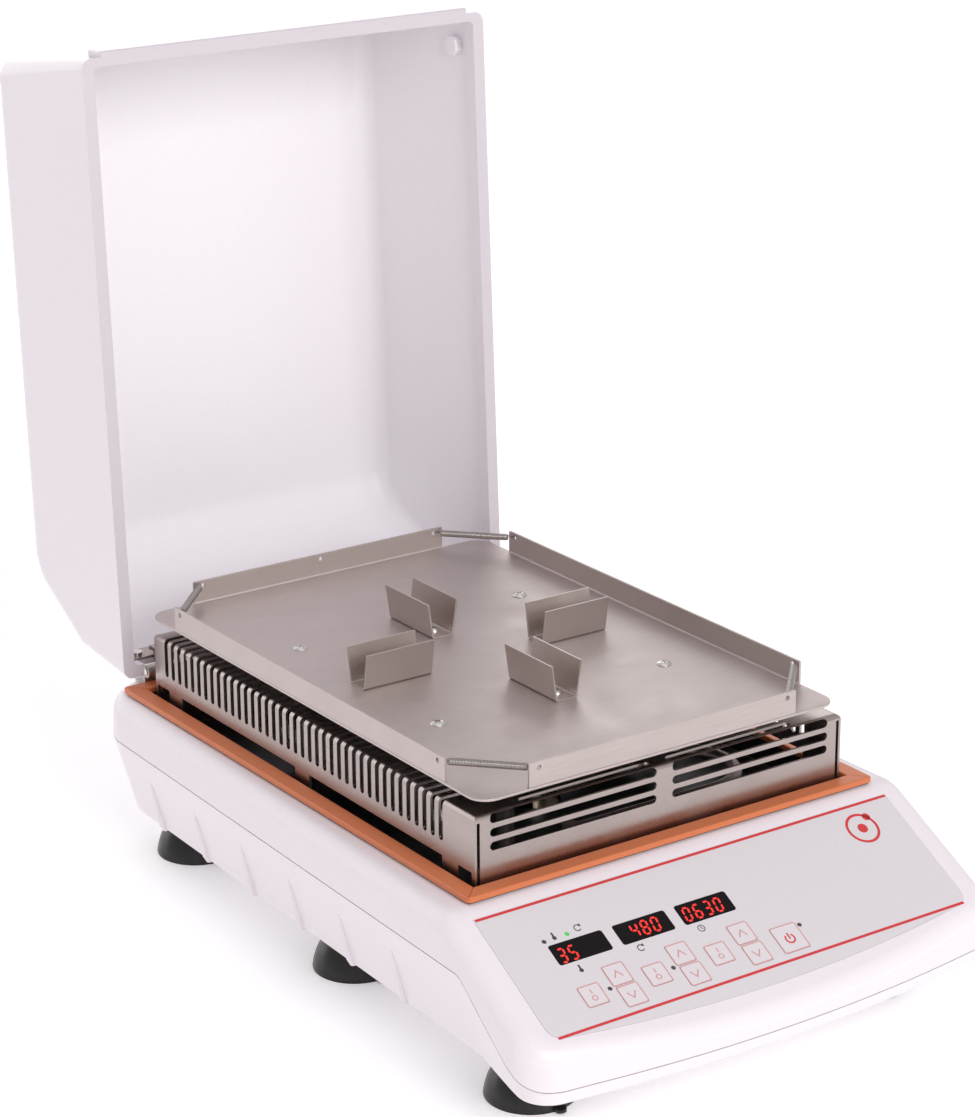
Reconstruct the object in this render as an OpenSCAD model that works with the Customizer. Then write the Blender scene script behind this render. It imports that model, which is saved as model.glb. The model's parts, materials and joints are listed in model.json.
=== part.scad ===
// Incubating orbital shaker with a hinged lid, a heated chamber and a sprung microplate tray.
// Lengths are millimetres. +Z is up, the control panel faces -Y, and the origin is the middle
// of the whole shaker's footprint, lid open, on the surface that the feet stand on.

/* [Housing] */
// Height of the suction feet
foot_h = 24; // [20:1:28]
// Height of the top of the chamber gasket above the floor
gasket_top = 88; // [86:1:90]
// Half width of the housing at its rear corners
rear_half_w = 118; // [117:0.5:120]
// Half width of the housing at its front corners
front_half_w = 127.5; // [126:0.5:129]
// Wall thickness of the moulded shells
wall = 3; // [2.5:0.5:3.5]
// Slope of the control panel below horizontal, in degrees
panel_slope = 29; // [28:0.5:30]

/* [Lid] */
// Angle of the open lid from closed, in degrees
lid_open = 92.6; // [85:0.1:95]
// Height of the lid above its rim
lid_h = 102; // [90:1:110]
// Wall thickness of the lid
lid_wall = 2.5; // [2:0.1:2.5]

/* [Tray] */
// Distance from the tray's middle to its side flanges
tray_half_w = 96.9; // [94:0.1:98]
// Distance from the tray's middle to its front and rear flanges
tray_half_l = 139.5; // [137:0.5:139.5]
// Height of the flanges above the tray's base
flange_h = 11.1; // [9:0.1:12]
// Height of the tray's base above the gasket
tray_rise = 36.9; // [36:0.1:40]
// Distance from the tray's middle to the middle of each plate clip
clip_arm = 49.2; // [46:0.1:52]

/* [Orbit] */
// Radius of the orbit
orbit_r = 1.5; // [1:0.1:1.5]
// Direction in which the tray stands off its middle, in degrees from +X
orbit_phase = 147; // [0:1:359]

/* [Hidden] */

$fn = 48;
eps = 0.01;          // overshoot of a cut past a face
gap = 0.3;           // air between pieces that move past each other
run = 0.05;          // radial clearance of a shaft in its bearing

// --- chamber frame: its origin is the middle of the gasket's top face --------------------------------
lid_axis = [148.1, 4.5];        // hinge axis, y and z in the chamber frame
lid_front_y = -148.9;           // outer edge of the closed lid's rim at the front
front_draft = 5.5;              // lean of the lid's front wall, in degrees
lid_top_r = 12;                 // rounding of the lid's top edges
nose_y = -228;                  // foremost point of the housing, in the chamber frame
lid_corner = [lid_front_y + lid_h * tan(front_draft) + lid_top_r - lid_axis[0],
    gap + lid_h - lid_top_r - lid_axis[1]];
lid_reach = lid_axis[0] + lid_corner[0] * cos(lid_open) + lid_corner[1] * sin(lid_open)
    + lid_top_r;
chamber_y = -(nose_y + lid_reach) / 2;

module chamber() translate([0, chamber_y, gasket_top]) children();
module mirrored() {
    children();
    mirror([1, 0, 0]) children();
}

// --- outline of the housing in plan, from the rear round the left side to the middle of the front ----
rear_y = 168;                   // rear face
rear_r = 32;                    // rear corner radius
nose_corner = [-(front_half_w - 18), -201.5];
nose_corner_r = 18;
nose_bow_r = 700;               // radius of the bowed front
bow_y = nose_y + nose_bow_r;    // centre of that bow
nose_turn = 180 + atan2(nose_corner[1] - bow_y, nose_corner[0]) + 180;
side_ys = [100, 60, 20, -20, -60, -100, -130, -140, -147, -154, -163, -170, -180, -190];

// Each station is [x, y, outward x, outward y, how far it belongs to the front, 0 to 1].
function on_arc(c, r, a, f) = [c[0] + r * cos(a), c[1] + r * sin(a), cos(a), sin(a), f];
rear_c = [-(rear_half_w - rear_r), rear_y - rear_r];
side_run = [nose_corner[0] - nose_corner_r + rear_half_w, nose_corner[1] - rear_c[1]];
function side_x(y) = -rear_half_w + side_run[0] * (y - rear_c[1]) / side_run[1];
left_outline = concat(
    [for (k = [0:6]) on_arc(rear_c, rear_r, 90 + 15 * k, 0)],
    [for (y = side_ys) [side_x(y), y, -1, 0, 0]],
    [for (k = [0:6]) on_arc(nose_corner, nose_corner_r,
        180 + (nose_turn - 180) * k / 6, k / 6)],
    [for (k = [1:5]) on_arc([0, bow_y], nose_bow_r,
        nose_turn + (270 - nose_turn) * k / 5, 1)]);

// --- heights in the chamber frame, as functions of y -------------------------------------------------
deck_z = -3.5;                  // top deck
crease_y = -147;                // where the deck turns down into the panel
floor_z = foot_h - gasket_top;  // underside of the housing
side_seam_z = -24;              // joint between the shells along the sides
front_seam_z = -56.5;           // the same joint across the front
seam_bends = [[-163, side_seam_z], [-196, -48.5], [-206, -54], [-214, front_seam_z]];
function top_z(y) = y > crease_y ? deck_z : deck_z + (y - crease_y) * tan(panel_slope);
function seam_z(y) = y >= -163 ? side_seam_z : y <= -214 ? front_seam_z
    : lookup(-y, [for (b = seam_bends) [-b[0], b[1]]]);

// Rings of points, one ring a level; each level lists its left-hand points from rear to front.
function full_ring(l) = concat(l, [for (i = [len(l) - 2:-1:0]) [-l[i][0], l[i][1], l[i][2]]]);
module loft(levels) {
    n = len(levels[0]);
    k = 2 * n - 1;
    m = len(levels);
    function right(i) = k - 1 - i;
    points = [for (l = levels) each full_ring(l)];
    sides = [for (j = [0:m - 2], i = [0:k - 1]) each [
        [j * k + i, (j + 1) * k + i, j * k + (i + 1) % k],
        [j * k + (i + 1) % k, (j + 1) * k + i, (j + 1) * k + (i + 1) % k]]];
    low = [for (i = [0:n - 2]) each (i == n - 2 ? [[i, n - 1, right(i)]]
        : [[i, i + 1, right(i)], [i + 1, right(i + 1), right(i)]])];
    top = (m - 1) * k;
    high = [for (f = low) [top + f[0], top + f[2], top + f[1]]];
    polyhedron(points, concat(sides, low, high));
}

// A level of the upper shell: "in" is how far the skin is inset by the wall, a the angle round
// its top rounding.
side_round = 9;
front_round = 5;
front_lean = 0.45;              // inset of the front face for each millimetre of height
function upper_round(s, in) = max(side_round + (front_round - side_round) * s[4] - in, 1);
function inset_pt(s, d) = [s[0] - s[2] * d, s[1] - s[3] * d];
function upper_face(s, in) = let (r = upper_round(s, in), foot = seam_z(s[1]),
    h = max(top_z(s[1]) - r - in - foot, 0)) [front_lean * s[4] * h + 0.6 * (1 - s[4]), foot + h];
function upper_arc(s, in, a) = let (f = upper_face(s, in), r = upper_round(s, in),
    d = in + f[0] + r * (1 - cos(a)), p = inset_pt(s, d))
    [p[0], p[1], max(top_z(p[1]) - in - r * (1 - sin(a)), seam_z(s[1]) + 0.2)];
function upper_foot(s, in, drop) = let (p = inset_pt(s, in))
    [p[0], p[1], seam_z(s[1]) + seam_gap - drop];
seam_gap = 0.25;                // half the visible joint between the shells
module upper_skin(in, drop) loft(concat(
    [[for (s = left_outline) upper_foot(s, in, drop)]],
    [for (a = [0, 22, 45, 68, 90]) [for (s = left_outline) upper_arc(s, in, a)]]));

lower_lean = 0.26;              // inset of the lower shell for each millimetre down
function lower_pt(s, in, z, extra) = let (
    p = inset_pt(s, in + extra + lower_lean * (seam_z(s[1]) - z))) [p[0], p[1], z];
module lower_skin(in, bottom, rise) loft([
    [for (s = left_outline) lower_pt(s, in, bottom, 2.2)],
    [for (s = left_outline) lower_pt(s, in, bottom + 2.4, 0)],
    [for (s = left_outline) let (p = inset_pt(s, in)) [p[0], p[1], seam_z(s[1]) - seam_gap + rise]]]);

// --- control panel frame: origin in the middle of the crease, +Y up the slope, +Z out of it ----------
module on_panel() chamber() translate([0, crease_y, deck_z]) rotate([panel_slope, 0, 0]) children();
overlay_t = 0.5;
overlay_recess = 0.4;
overlay_top = 7.0;              // distances down the slope from the crease
overlay_side = 71.6;
overlay_bow = 79.4;
overlay_half_w = [112, 112.4];
overlay_r = 7;
window_size = [27.5, 10.7];
window_x = [-88.7, -56, -23.4];
window_v = 29.3;
key_size = 10.5;
standby_size = 13.7;
key_travel = 0.4;
key_clear = 0.15;
key_depth = 1.4;
key_cols = [-88.5, -55.7, -22.8];
key_power_v = 52.3;
key_arrow_dx = 16.1;
key_up_v = 46.5;
key_down_v = 57.7;
led_r = 1;
led_spots = [[-88.6, 26.8], [-76.8, 26.5], [-74.4, 57.1], [-41.6, 57.1], [26.8, 56.4]];
panel_wall = wall * cos(panel_slope);   // thickness of the panel across its slope
board_z = -12;                  // underside of the board behind the panel
board_t = 1.6;

// A point on the panel from its distance across and its distance down the slope.
module panel_at(x, v, z = 0) translate([x, -v, z]) children();
bow_rise = overlay_bow - overlay_side;
bow_half = overlay_half_w[1] - overlay_r / 2;
panel_bow_r = (bow_half * bow_half + bow_rise * bow_rise) / (2 * bow_rise);
module overlay_outline(grow = 0) {
    top_w = overlay_half_w[0] + grow;
    low_w = overlay_half_w[1] + grow;
    intersection() {
        polygon([[-top_w, -overlay_top + grow], [top_w, -overlay_top + grow],
            [low_w, -60], [low_w, -100], [-low_w, -100], [-low_w, -60]]);
        union() {
            translate([-200, -overlay_side + overlay_r]) square([400, 100]);
            intersection() {
                translate([0, panel_bow_r - overlay_bow - grow]) circle(panel_bow_r, $fn = 360);
                union() {
                    translate([-low_w + overlay_r, -100]) square([2 * low_w - 2 * overlay_r, 100]);
                    mirrored() translate([low_w - overlay_r, -overlay_side + overlay_r + 2.5])
                        circle(overlay_r);
                }
            }
        }
    }
}
module key_outline(size, grow) square(size + 2 * grow, center = true);
function key_list() = concat(
    [for (x = key_cols) each [
        [x + key_size / 2, key_power_v + key_size / 2, key_size],
        [x + key_arrow_dx + key_size / 2, key_up_v + key_size / 2, key_size],
        [x + key_arrow_dx + key_size / 2 + 0.5, key_down_v + key_size / 2, key_size]]],
    [[11.3 + standby_size / 2, 54.2 + standby_size / 2, standby_size]]);
keys = key_list();
module key_pockets(depth) for (k = keys) panel_at(k[0], k[1], -depth)
    linear_extrude(depth + 1) key_outline(k[2], key_clear);

// --- housing -----------------------------------------------------------------------------------------
opening = [103, -139.5, 139];   // half width, front and rear of the chamber's cut-out
boss_spots = [[-98, 120], [98, 120], [-104, -110], [104, -110], [-96, -196], [96, -196]];
boss_r = 4;

module upper_housing() color("GhostWhite") {
    difference() {
        chamber() difference() {
            upper_skin(0, 0);
            upper_skin(wall, 4);
            translate([-opening[0], opening[1], deck_z - 20])
                cube([2 * opening[0], opening[2] - opening[1], 40]);
        }
        on_panel() panel_at(0, 0, -overlay_recess) linear_extrude(5) overlay_outline(0.1);
        on_panel() for (x = window_x) panel_at(x, window_v + window_size[1], -10)
            cube([window_size[0], window_size[1], 20]);
        on_panel() key_pockets(key_depth + key_travel + 0.3);
        on_panel() for (p = led_spots) panel_at(p[0], p[1], -10)
            cylinder(r = led_r + 0.1, h = 20);
    }
}

rib_r = 1.6;
rib_y = [for (i = [0:5]) 113.5 - 43.75 * i];
rib_top = -38;
inlet_x = -62;
inlet_z = -42;
inlet_cut = [27.4, 20];
inlet_pad = [44, 28, 10];        // width, height and depth of the flat boss round the inlet
inlet_face_y = rear_y - 0.8;
vent_x = [for (i = [0:8]) 30 + 5.5 * i];

// A round rib that follows the leaning side wall down to the bottom edge.
module side_rib(y) {
    lean = atan(lower_lean);
    x = side_x(y) + lower_lean * (side_seam_z - rib_top) + 0.5;
    translate([x, y, rib_top]) rotate([0, 180 - lean, 0])
        cylinder(r1 = rib_r * 0.5, r2 = rib_r, h = (rib_top - floor_z - 3) / cos(lean));
}
module lower_housing() color("GhostWhite") chamber() {
    difference() {
        union() {
            difference() {
                lower_skin(0, floor_z, 0);
                lower_skin(wall, floor_z + wall, 4);
            }
            mirrored() for (y = rib_y) side_rib(y);
            translate([inlet_x - inlet_pad[0] / 2, inlet_face_y - inlet_pad[2], inlet_z - inlet_pad[1] / 2])
                cube([inlet_pad[0], inlet_pad[2], inlet_pad[1]]);
        }
        translate([inlet_x - inlet_cut[0] / 2, rear_y - 20, inlet_z - inlet_cut[1] / 2])
            cube([inlet_cut[0], 30, inlet_cut[1]]);
        for (x = vent_x) translate([x - 1.2, rear_y - 20, -52]) cube([2.4, 30, 18]);
        for (p = foot_spots) translate([p[0], p[1], floor_z - 1])
            cylinder(r = foot_screw_r + 0.2, h = 10);
    }
    for (p = boss_spots) translate([p[0], p[1], floor_z + wall - eps])
        cylinder(r = boss_r, h = chassis_z - floor_z - wall + eps);
}

// --- feet --------------------------------------------------------------------------------------------
foot_r = 20;
foot_screw_r = 2.5;
foot_ys = [133, -20, -164];
foot_xs = [80, 85.5, 91];
foot_spots = [for (s = [-1, 1], i = [0:2]) [s * foot_xs[i], foot_ys[i]]];
foot_dome = [[foot_r, 0], [foot_r, 1.2], [19.3, 4], [18.1, 8], [16.2, 12], [13.6, 16], [11, 18.5],
    [10, foot_h]];
module suction_foot() {
    rotate_extrude() polygon(concat(foot_dome,
        [[0, foot_h], [0, 5], [9, 3.4], [14, 1.6], [16.5, 0]]));
    translate([-2.5, -foot_r - 3.5, 0.8]) cube([5, 5, 1.4]);
}
module suction_feet() color("DimGray") difference() {
    for (p = foot_spots) translate([p[0], chamber_y + p[1], 0]) suction_foot();
    for (p = foot_spots) translate([p[0], chamber_y + p[1], 10]) cylinder(r = foot_screw_r, h = 20);
}
module foot_screws() color("Silver") for (p = foot_spots)
    translate([p[0], chamber_y + p[1], 0]) {
        translate([0, 0, 10]) cylinder(r = foot_screw_r, h = foot_h + wall - 10);
        translate([0, 0, foot_h + wall]) cylinder(r = 4.5, h = 3, $fn = 6);
    }

// --- chassis and chamber -----------------------------------------------------------------------------
chassis_z = floor_z + wall + 3; // underside of the chassis plate, in the chamber frame
chassis_t = 2;
chassis_half_w = 104.5;
chassis_ys = [-204, 131];
pan_floor = -20.5;              // top of the chamber's floor
pan_t = 1;
pan_in = [101.3, -138, 137.3];  // inner half width, front and rear of the tub
crank_spots = [[0, -38], [-52, 32], [52, 32]];
shaft_hole = 13;
fan_spot = [0, 96];
module rect_ring(x0, x1, y0, y1, w) difference() {
    translate([x0, y0]) square([x1 - x0, y1 - y0]);
    translate([x0 + w, y0 + w]) square([x1 - x0 - 2 * w, y1 - y0 - 2 * w]);
}
module round_rect(w, l, r) union() {
    square([w - 2 * r, l], center = true);
    square([w, l - 2 * r], center = true);
    for (x = [-1, 1], y = [-1, 1]) translate([x * (w / 2 - r), y * (l / 2 - r)]) circle(r);
}

module chassis_plate() color("LightSteelBlue") chamber() difference() {
    translate([-chassis_half_w, chassis_ys[0], chassis_z])
        cube([2 * chassis_half_w, chassis_ys[1] - chassis_ys[0], chassis_t]);
    for (p = boss_spots) translate([p[0], p[1], chassis_z - 1]) cylinder(r = 2, h = 5);
}
module housing_screws() color("Silver") chamber() for (p = boss_spots)
    translate([p[0], p[1], chassis_z + chassis_t]) {
        cylinder(r = 3.5, h = 2.4);
        translate([0, 0, -chassis_t]) cylinder(r = 1.95, h = chassis_t);
    }

module chamber_pan() color("DarkSlateGray") chamber() {
    w = pan_in[0];
    difference() {
        union() {
            translate([0, 0, deck_z]) linear_extrude(pan_t) rect_ring(-108.6, 108.6, -145.6, 145.6, 7);
            translate([0, 0, pan_floor - pan_t]) linear_extrude(deck_z + pan_t - pan_floor + pan_t)
                rect_ring(-w - pan_t, w + pan_t, pan_in[1] - pan_t, pan_in[2] + pan_t, pan_t);
            translate([-w - pan_t, pan_in[1] - pan_t, pan_floor - pan_t])
                cube([2 * w + 2 * pan_t, pan_in[2] - pan_in[1] + 2 * pan_t, pan_t]);
        }
        for (p = crank_spots) translate([p[0], p[1], pan_floor - 5]) cylinder(r = shaft_hole, h = 10);
        translate([fan_spot[0], fan_spot[1], pan_floor - 5]) cylinder(r = 5, h = 10);
        for (p = guard_screw_spots) translate([p[0], p[1], pan_floor - 5]) cylinder(r = 1.6, h = 10);
    }
}
gasket_outer = [110, 146.9];
gasket_w = 8.3;
module chamber_gasket() color("Chocolate") chamber() translate([0, 0, deck_z + pan_t])
    linear_extrude(-deck_z - pan_t) difference() {
        round_rect(2 * gasket_outer[0], 2 * gasket_outer[1], 2);
        square([2 * (gasket_outer[0] - gasket_w), 2 * (gasket_outer[1] - gasket_w)], center = true);
    }

// --- slotted guard over the chamber ------------------------------------------------------------------
guard_half_w = 99.4;
guard_ys = [-136.2, 133];
guard_top = 29.2;
guard_t = 1.2;
guard_fold_r = 2.4;
slot_w = 3.1;
side_slot_n = 39;
side_slot_pitch = 6.13;
side_slot_y0 = -111.2;
side_slot_z = 10.6;
side_slot_reach = 16;
front_slot_h = 3.9;
front_slot_pitch = 6.2;
front_slot_x = [4.3, 91.5];
front_slot_z0 = 14.4;
guard_foot = 9;
guard_seam_w = 1.5;             // open seam beside each corner of the front and rear walls
guard_gap_z = [pan_floor + 8, 4];    // air gaps along the foot of each side wall
guard_gap_ys = [[-134, -124], [-112, -6], [6, 108], [120, 131]];
guard_screw_spots = [for (x = [-1, 1], y = [-118, 0, 114]) [x * (guard_half_w - guard_t - 5.5), y]];
standoff_spots = [for (x = [-1, 1], y = [-1, 1]) [x * 62.4, y * 57.2]];
standoff_hole = 9;

// A bar with a lengthwise round-cornered section, used for the guard's outside and inside.
module guard_block(in) {
    h = guard_top - pan_floor;
    w = guard_half_w - in;
    intersection() {
        translate([0, guard_ys[1] - in, 0]) rotate([90, 0, 0])
            linear_extrude(guard_ys[1] - guard_ys[0] - 2 * in)
            fold_section(2 * w, h - in, max(guard_fold_r - in, 0.6));
        translate([-w, (guard_ys[0] + guard_ys[1]) / 2, 0]) rotate([90, 0, 90])
            linear_extrude(2 * w)
            fold_section(guard_ys[1] - guard_ys[0] - 2 * in, h - in, max(guard_fold_r - in, 0.6));
    }
}
module fold_section(w, h, r) union() {
    translate([-w / 2, 0]) square([w, h - r]);
    translate([-w / 2 + r, 0]) square([w - 2 * r, h]);
    for (s = [-1, 1]) translate([s * (w / 2 - r), h - r]) circle(r, $fn = 24);
}
module slot_bar(w, l, h) linear_extrude(h) union() {
    square([l - w, w], center = true);
    for (s = [-1, 1]) translate([s * (l - w) / 2, 0]) circle(w / 2, $fn = 24);
}
module guard_cover() color("Silver") chamber() difference() {
    union() {
        translate([0, 0, pan_floor]) difference() {
            guard_block(0);
            translate([0, 0, -eps]) guard_block(guard_t);
        }
        for (p = guard_screw_spots) translate([p[0] - 5.6, p[1] - guard_foot / 2, pan_floor])
            cube([11.2, guard_foot, guard_t]);
    }
    // slots that run up each side and over the fold onto the top
    for (i = [0:side_slot_n - 1], s = [-1, 1]) {
        y = side_slot_y0 + side_slot_pitch * i;
        translate([s * (guard_half_w - side_slot_reach + 20), y, guard_top - 4])
            slot_bar(slot_w, 40, 8);
        translate([s * guard_half_w - 4, y, side_slot_z + 16]) rotate([0, 90, 0])
            slot_bar(slot_w, 32, 8);
    }
    // rows of slots across the front and the rear
    for (row = [0:2], s = [-1, 1], face = [0, 1])
        translate([s * (front_slot_x[0] + front_slot_x[1]) / 2, guard_ys[face],
            front_slot_z0 + row * front_slot_pitch])
            rotate([90, 0, 0]) translate([0, 0, -4])
            slot_bar(front_slot_h, front_slot_x[1] - front_slot_x[0], 8);
    // rows of slots along the top, behind the front fold and before the rear one
    for (row = [0:2], s = [-1, 1], face = [0, 1])
        translate([s * (front_slot_x[0] + front_slot_x[1] - 18) / 2,
            guard_ys[face] + (face == 0 ? 1 : -1) * (5 + row * front_slot_pitch), guard_top - 4])
            slot_bar(front_slot_h, front_slot_x[1] - front_slot_x[0] - 18, 8);
    for (p = standoff_spots) translate([p[0], p[1], 0]) cylinder(r = standoff_hole, h = 60);
    for (p = guard_screw_spots) translate([p[0], p[1], pan_floor - 1]) cylinder(r = 1.6, h = 5);
    for (s = [-1, 1], y = guard_gap_ys) translate([s * guard_half_w - 3, y[0], guard_gap_z[0]])
        cube([6, y[1] - y[0], guard_gap_z[1] - guard_gap_z[0]]);
    for (s = [-1, 1], face = [0, 1])
        translate([s * (guard_half_w - guard_t - guard_seam_w / 2), guard_ys[face], 10])
            cube([guard_seam_w, 8, 33], center = true);
}
module guard_screws() color("Gainsboro") chamber() for (p = guard_screw_spots)
    translate([p[0], p[1], pan_floor + guard_t]) {
        cylinder(r = 2.8, h = 1.6);
        translate([0, 0, -guard_t - pan_t]) cylinder(r = 1.55, h = guard_t + pan_t);
    }

// --- heating and air ---------------------------------------------------------------------------------
heater_r = 3.2;
heater_x = 78;
heater_y = [-122, -72];
heater_z = 3;
module heater_element() color("DarkGray") chamber() {
    mid = (heater_y[0] + heater_y[1]) / 2;
    bend = (heater_y[1] - heater_y[0]) / 2;
    for (y = heater_y) translate([-heater_x / 2, y, heater_z]) rotate([0, 90, 0])
        cylinder(r = heater_r, h = heater_x);
    translate([heater_x / 2, mid, heater_z]) rotate([0, 0, -90])
        rotate_extrude(angle = 180) translate([bend, 0]) circle(heater_r, $fn = 24);
    for (y = heater_y) translate([-heater_x / 2, y, pan_floor])
        cylinder(r = heater_r + 1, h = heater_z - pan_floor + heater_r);
}
module temperature_probe() color("Gainsboro") chamber() translate([70, 104, pan_floor]) {
    cylinder(r = 2, h = 34);
    cylinder(r = 4, h = 3, $fn = 6);
}
fan_shaft_r = 2;
fan_h = 12;
module fan_motor() color("DimGray") chamber() translate([fan_spot[0], fan_spot[1], pan_floor])
    difference() {
        union() {
            translate([0, 0, -pan_t - 24]) cylinder(r = 15, h = 24);
            translate([0, 0, -pan_t]) cylinder(r = 4.8, h = pan_t + 4);
        }
        translate([0, 0, -15]) cylinder(r = fan_shaft_r + run, h = 30);
    }
module fan_wheel() color("SlateGray") chamber() translate([fan_spot[0], fan_spot[1], pan_floor]) {
    translate([0, 0, -14]) cylinder(r = fan_shaft_r, h = 32);
    translate([0, 0, 6]) cylinder(r = 8, h = fan_h);
    translate([0, 0, 5]) cylinder(r = 24, h = 1.5);
    for (i = [0:11]) rotate([0, 0, 30 * i]) translate([7, -0.8, 6]) rotate([0, 0, 18])
        cube([16, 1.4, fan_h]);
}

// --- drive: one driven crank and two idler cranks that carry the platform ----------------------------
tower_z = chassis_z + chassis_t;
tower_h = 26;
tower_r = 13;
journal_r = 6;
bearing_r = 9.5;
bearing_h = 6;
pin_r = 4;
throw = [orbit_r * cos(orbit_phase), orbit_r * sin(orbit_phase)];
carrier_z = -11.5;              // underside of the platform's carrier
carrier_t = 7;
crank_web_z = carrier_z - 6.5;
pulley_z = tower_z + 1.2;
pulley_h = 8;
driven_pulley_r = 20;
motor_pulley_r = 10;
motor_spot = [0, 46];
belt_t = 1.6;

module at_crank(i) chamber() translate([crank_spots[i][0], crank_spots[i][1], 0]) children();
tower_lift = [12, 0, 0];        // the driven crank's tower stands on posts above its pulley
module bearing_towers() color("LightGray") {
    for (i = [0:2]) at_crank(i) {
        z0 = tower_z + tower_lift[i];
        difference() {
            translate([0, 0, z0]) cylinder(r = tower_r, h = tower_z + tower_h - z0);
            for (z = [z0 - 1, tower_z + tower_h - bearing_h])
                translate([0, 0, z]) cylinder(r = bearing_r, h = bearing_h + 1);
            translate([0, 0, z0 - 5]) cylinder(r = journal_r + 1.5, h = 40);
        }
    }
    // feet of the driven crank's tower, either side of the belt
    at_crank(0) for (s = [-1, 1]) {
        translate([s * 27 - 3, -7, tower_z]) cube([6, 14, tower_lift[0] + 5]);
        translate([s > 0 ? tower_r - 1 : -27, -7, tower_z + tower_lift[0]])
            cube([27 - tower_r + 1, 14, 5]);
    }
}
module ring(r_out, r_in, h) difference() {
    cylinder(r = r_out, h = h);
    translate([0, 0, -1]) cylinder(r = r_in, h = h + 2);
}
module main_bearings() color("Silver") for (i = [0:2]) at_crank(i) {
    translate([0, 0, tower_z + tower_h - bearing_h]) ring(bearing_r, journal_r + run, bearing_h);
    translate([0, 0, tower_z + tower_lift[i]])
        ring(bearing_r, journal_r + run, bearing_h - 1);
}
// The journal, the crank web and the eccentric pin on top of it.
module crank(i, foot) at_crank(i) {
    translate([0, 0, tower_z + foot]) cylinder(r = journal_r, h = crank_web_z - tower_z - foot);
    translate([0, 0, crank_web_z]) cylinder(r = 8, h = 5.5);
    translate([throw[0], throw[1], crank_web_z + 5.5])
        cylinder(r = pin_r, h = carrier_z + carrier_t - crank_web_z - 5.5 - 1);
}
module crankshaft() color("Gainsboro") crank(0, 0.5);
module idler_crank_left() color("Gainsboro") crank(1, 0.5);
module idler_crank_right() color("Gainsboro") crank(2, 0.5);
weight_z = tower_z + tower_h + 1;
module counterweight() color("DarkKhaki") at_crank(0) difference() {
    translate([0, 0, weight_z]) rotate([0, 0, orbit_phase + 90]) rotate_extrude(angle = 180)
        translate([journal_r, 0]) square([22, 7]);
}
module driven_pulley() color("DarkGray") at_crank(0) translate([0, 0, pulley_z])
    difference() {
        union() {
            cylinder(r = driven_pulley_r, h = pulley_h);
            cylinder(r = driven_pulley_r + 1.5, h = 1);
        }
        translate([0, 0, -1]) cylinder(r = journal_r, h = 20);
    }
motor_r = 25;
motor_post_angles = [-15, 60, 120, 195];   // clear of the belt's two runs
motor_z = pulley_z + pulley_h + 2;
module at_motor() chamber() translate([motor_spot[0], motor_spot[1], 0]) children();
module drive_motor() color("DimGray") at_motor() {
    difference() {
        translate([0, 0, motor_z]) cylinder(r = motor_r, h = 22);
        translate([0, 0, motor_z - 1]) cylinder(r = 2.5 + run, h = 12);
    }
    for (a = motor_post_angles) rotate([0, 0, a]) translate([motor_r - 4, 0, tower_z])
        cylinder(r = 2.5, h = motor_z - tower_z);
}
module motor_pulley() color("Silver") at_motor() {
    translate([0, 0, pulley_z]) cylinder(r = motor_pulley_r, h = pulley_h);
    translate([0, 0, pulley_z]) cylinder(r = 2.5, h = motor_z - pulley_z + 9);
    translate([0, 0, pulley_z]) cylinder(r = motor_pulley_r + 1.5, h = 1);
}
// The belt's straight runs leave both pulleys at the angle that the two radii set.
belt_span = motor_spot[1] - crank_spots[0][1];
belt_angle = asin((driven_pulley_r - motor_pulley_r) / belt_span);
module belt_outline(grow) {
    r0 = driven_pulley_r + grow;
    r1 = motor_pulley_r + grow;
    circle(r0, $fn = 96);
    translate([0, belt_span]) circle(r1, $fn = 72);
    a = belt_angle;
    polygon([[r0 * cos(a), r0 * sin(a)], [r1 * cos(a), belt_span + r1 * sin(a)],
        [-r1 * cos(a), belt_span + r1 * sin(a)], [-r0 * cos(a), r0 * sin(a)]]);
}
module drive_belt() color("Black") at_crank(0) translate([0, 0, pulley_z + 1.5])
    linear_extrude(pulley_h - 2) difference() {
        belt_outline(belt_t + 0.15);
        belt_outline(0.15);
    }

// --- electronics -------------------------------------------------------------------------------------
module board(w, l, t, parts) {
    translate([0, 0, 4]) cube([w, l, t]);
    for (x = [4, w - 4], y = [4, l - 4]) translate([x, y, 0]) cylinder(r = 2.5, h = 4);
    for (p = parts) translate([p[0], p[1], 4 + t]) cube([p[2], p[3], p[4]]);
}
module control_board() color("DarkGreen") chamber() translate([-84, -126, tower_z])
    board(160, 46, 1.6, [[10, 8, 30, 22, 9], [52, 10, 14, 14, 3], [80, 8, 22, 12, 12],
        [112, 26, 34, 12, 7], [120, 6, 12, 12, 14]]);
module power_supply() color("OliveDrab") chamber() translate([-96, 66, tower_z])
    board(58, 52, 1.6, [[6, 6, 20, 22, 18], [32, 8, 18, 14, 14], [8, 34, 40, 12, 10]]);
module power_inlet() color("Black") chamber() {
    difference() {
        union() {
            translate([inlet_x - 20, inlet_face_y, inlet_z - 12.5]) cube([40, 2.5, 25]);
            translate([inlet_x - inlet_cut[0] / 2 + 0.2, inlet_face_y - 18, inlet_z - inlet_cut[1] / 2 + 0.2])
                cube([inlet_cut[0] - 0.4, 18 + eps, inlet_cut[1] - 0.4]);
        }
        translate([inlet_x - 12, inlet_face_y - 15, inlet_z - 8]) cube([24, 20, 16]);
    }
    for (x = [-7, 0, 7]) translate([inlet_x + x - 1, inlet_face_y - 15.5, inlet_z - 2 + (x == 0 ? 4 : 0)])
        cube([2, 9.5, 4]);
}
window_z = -overlay_recess - 1.4;
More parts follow.
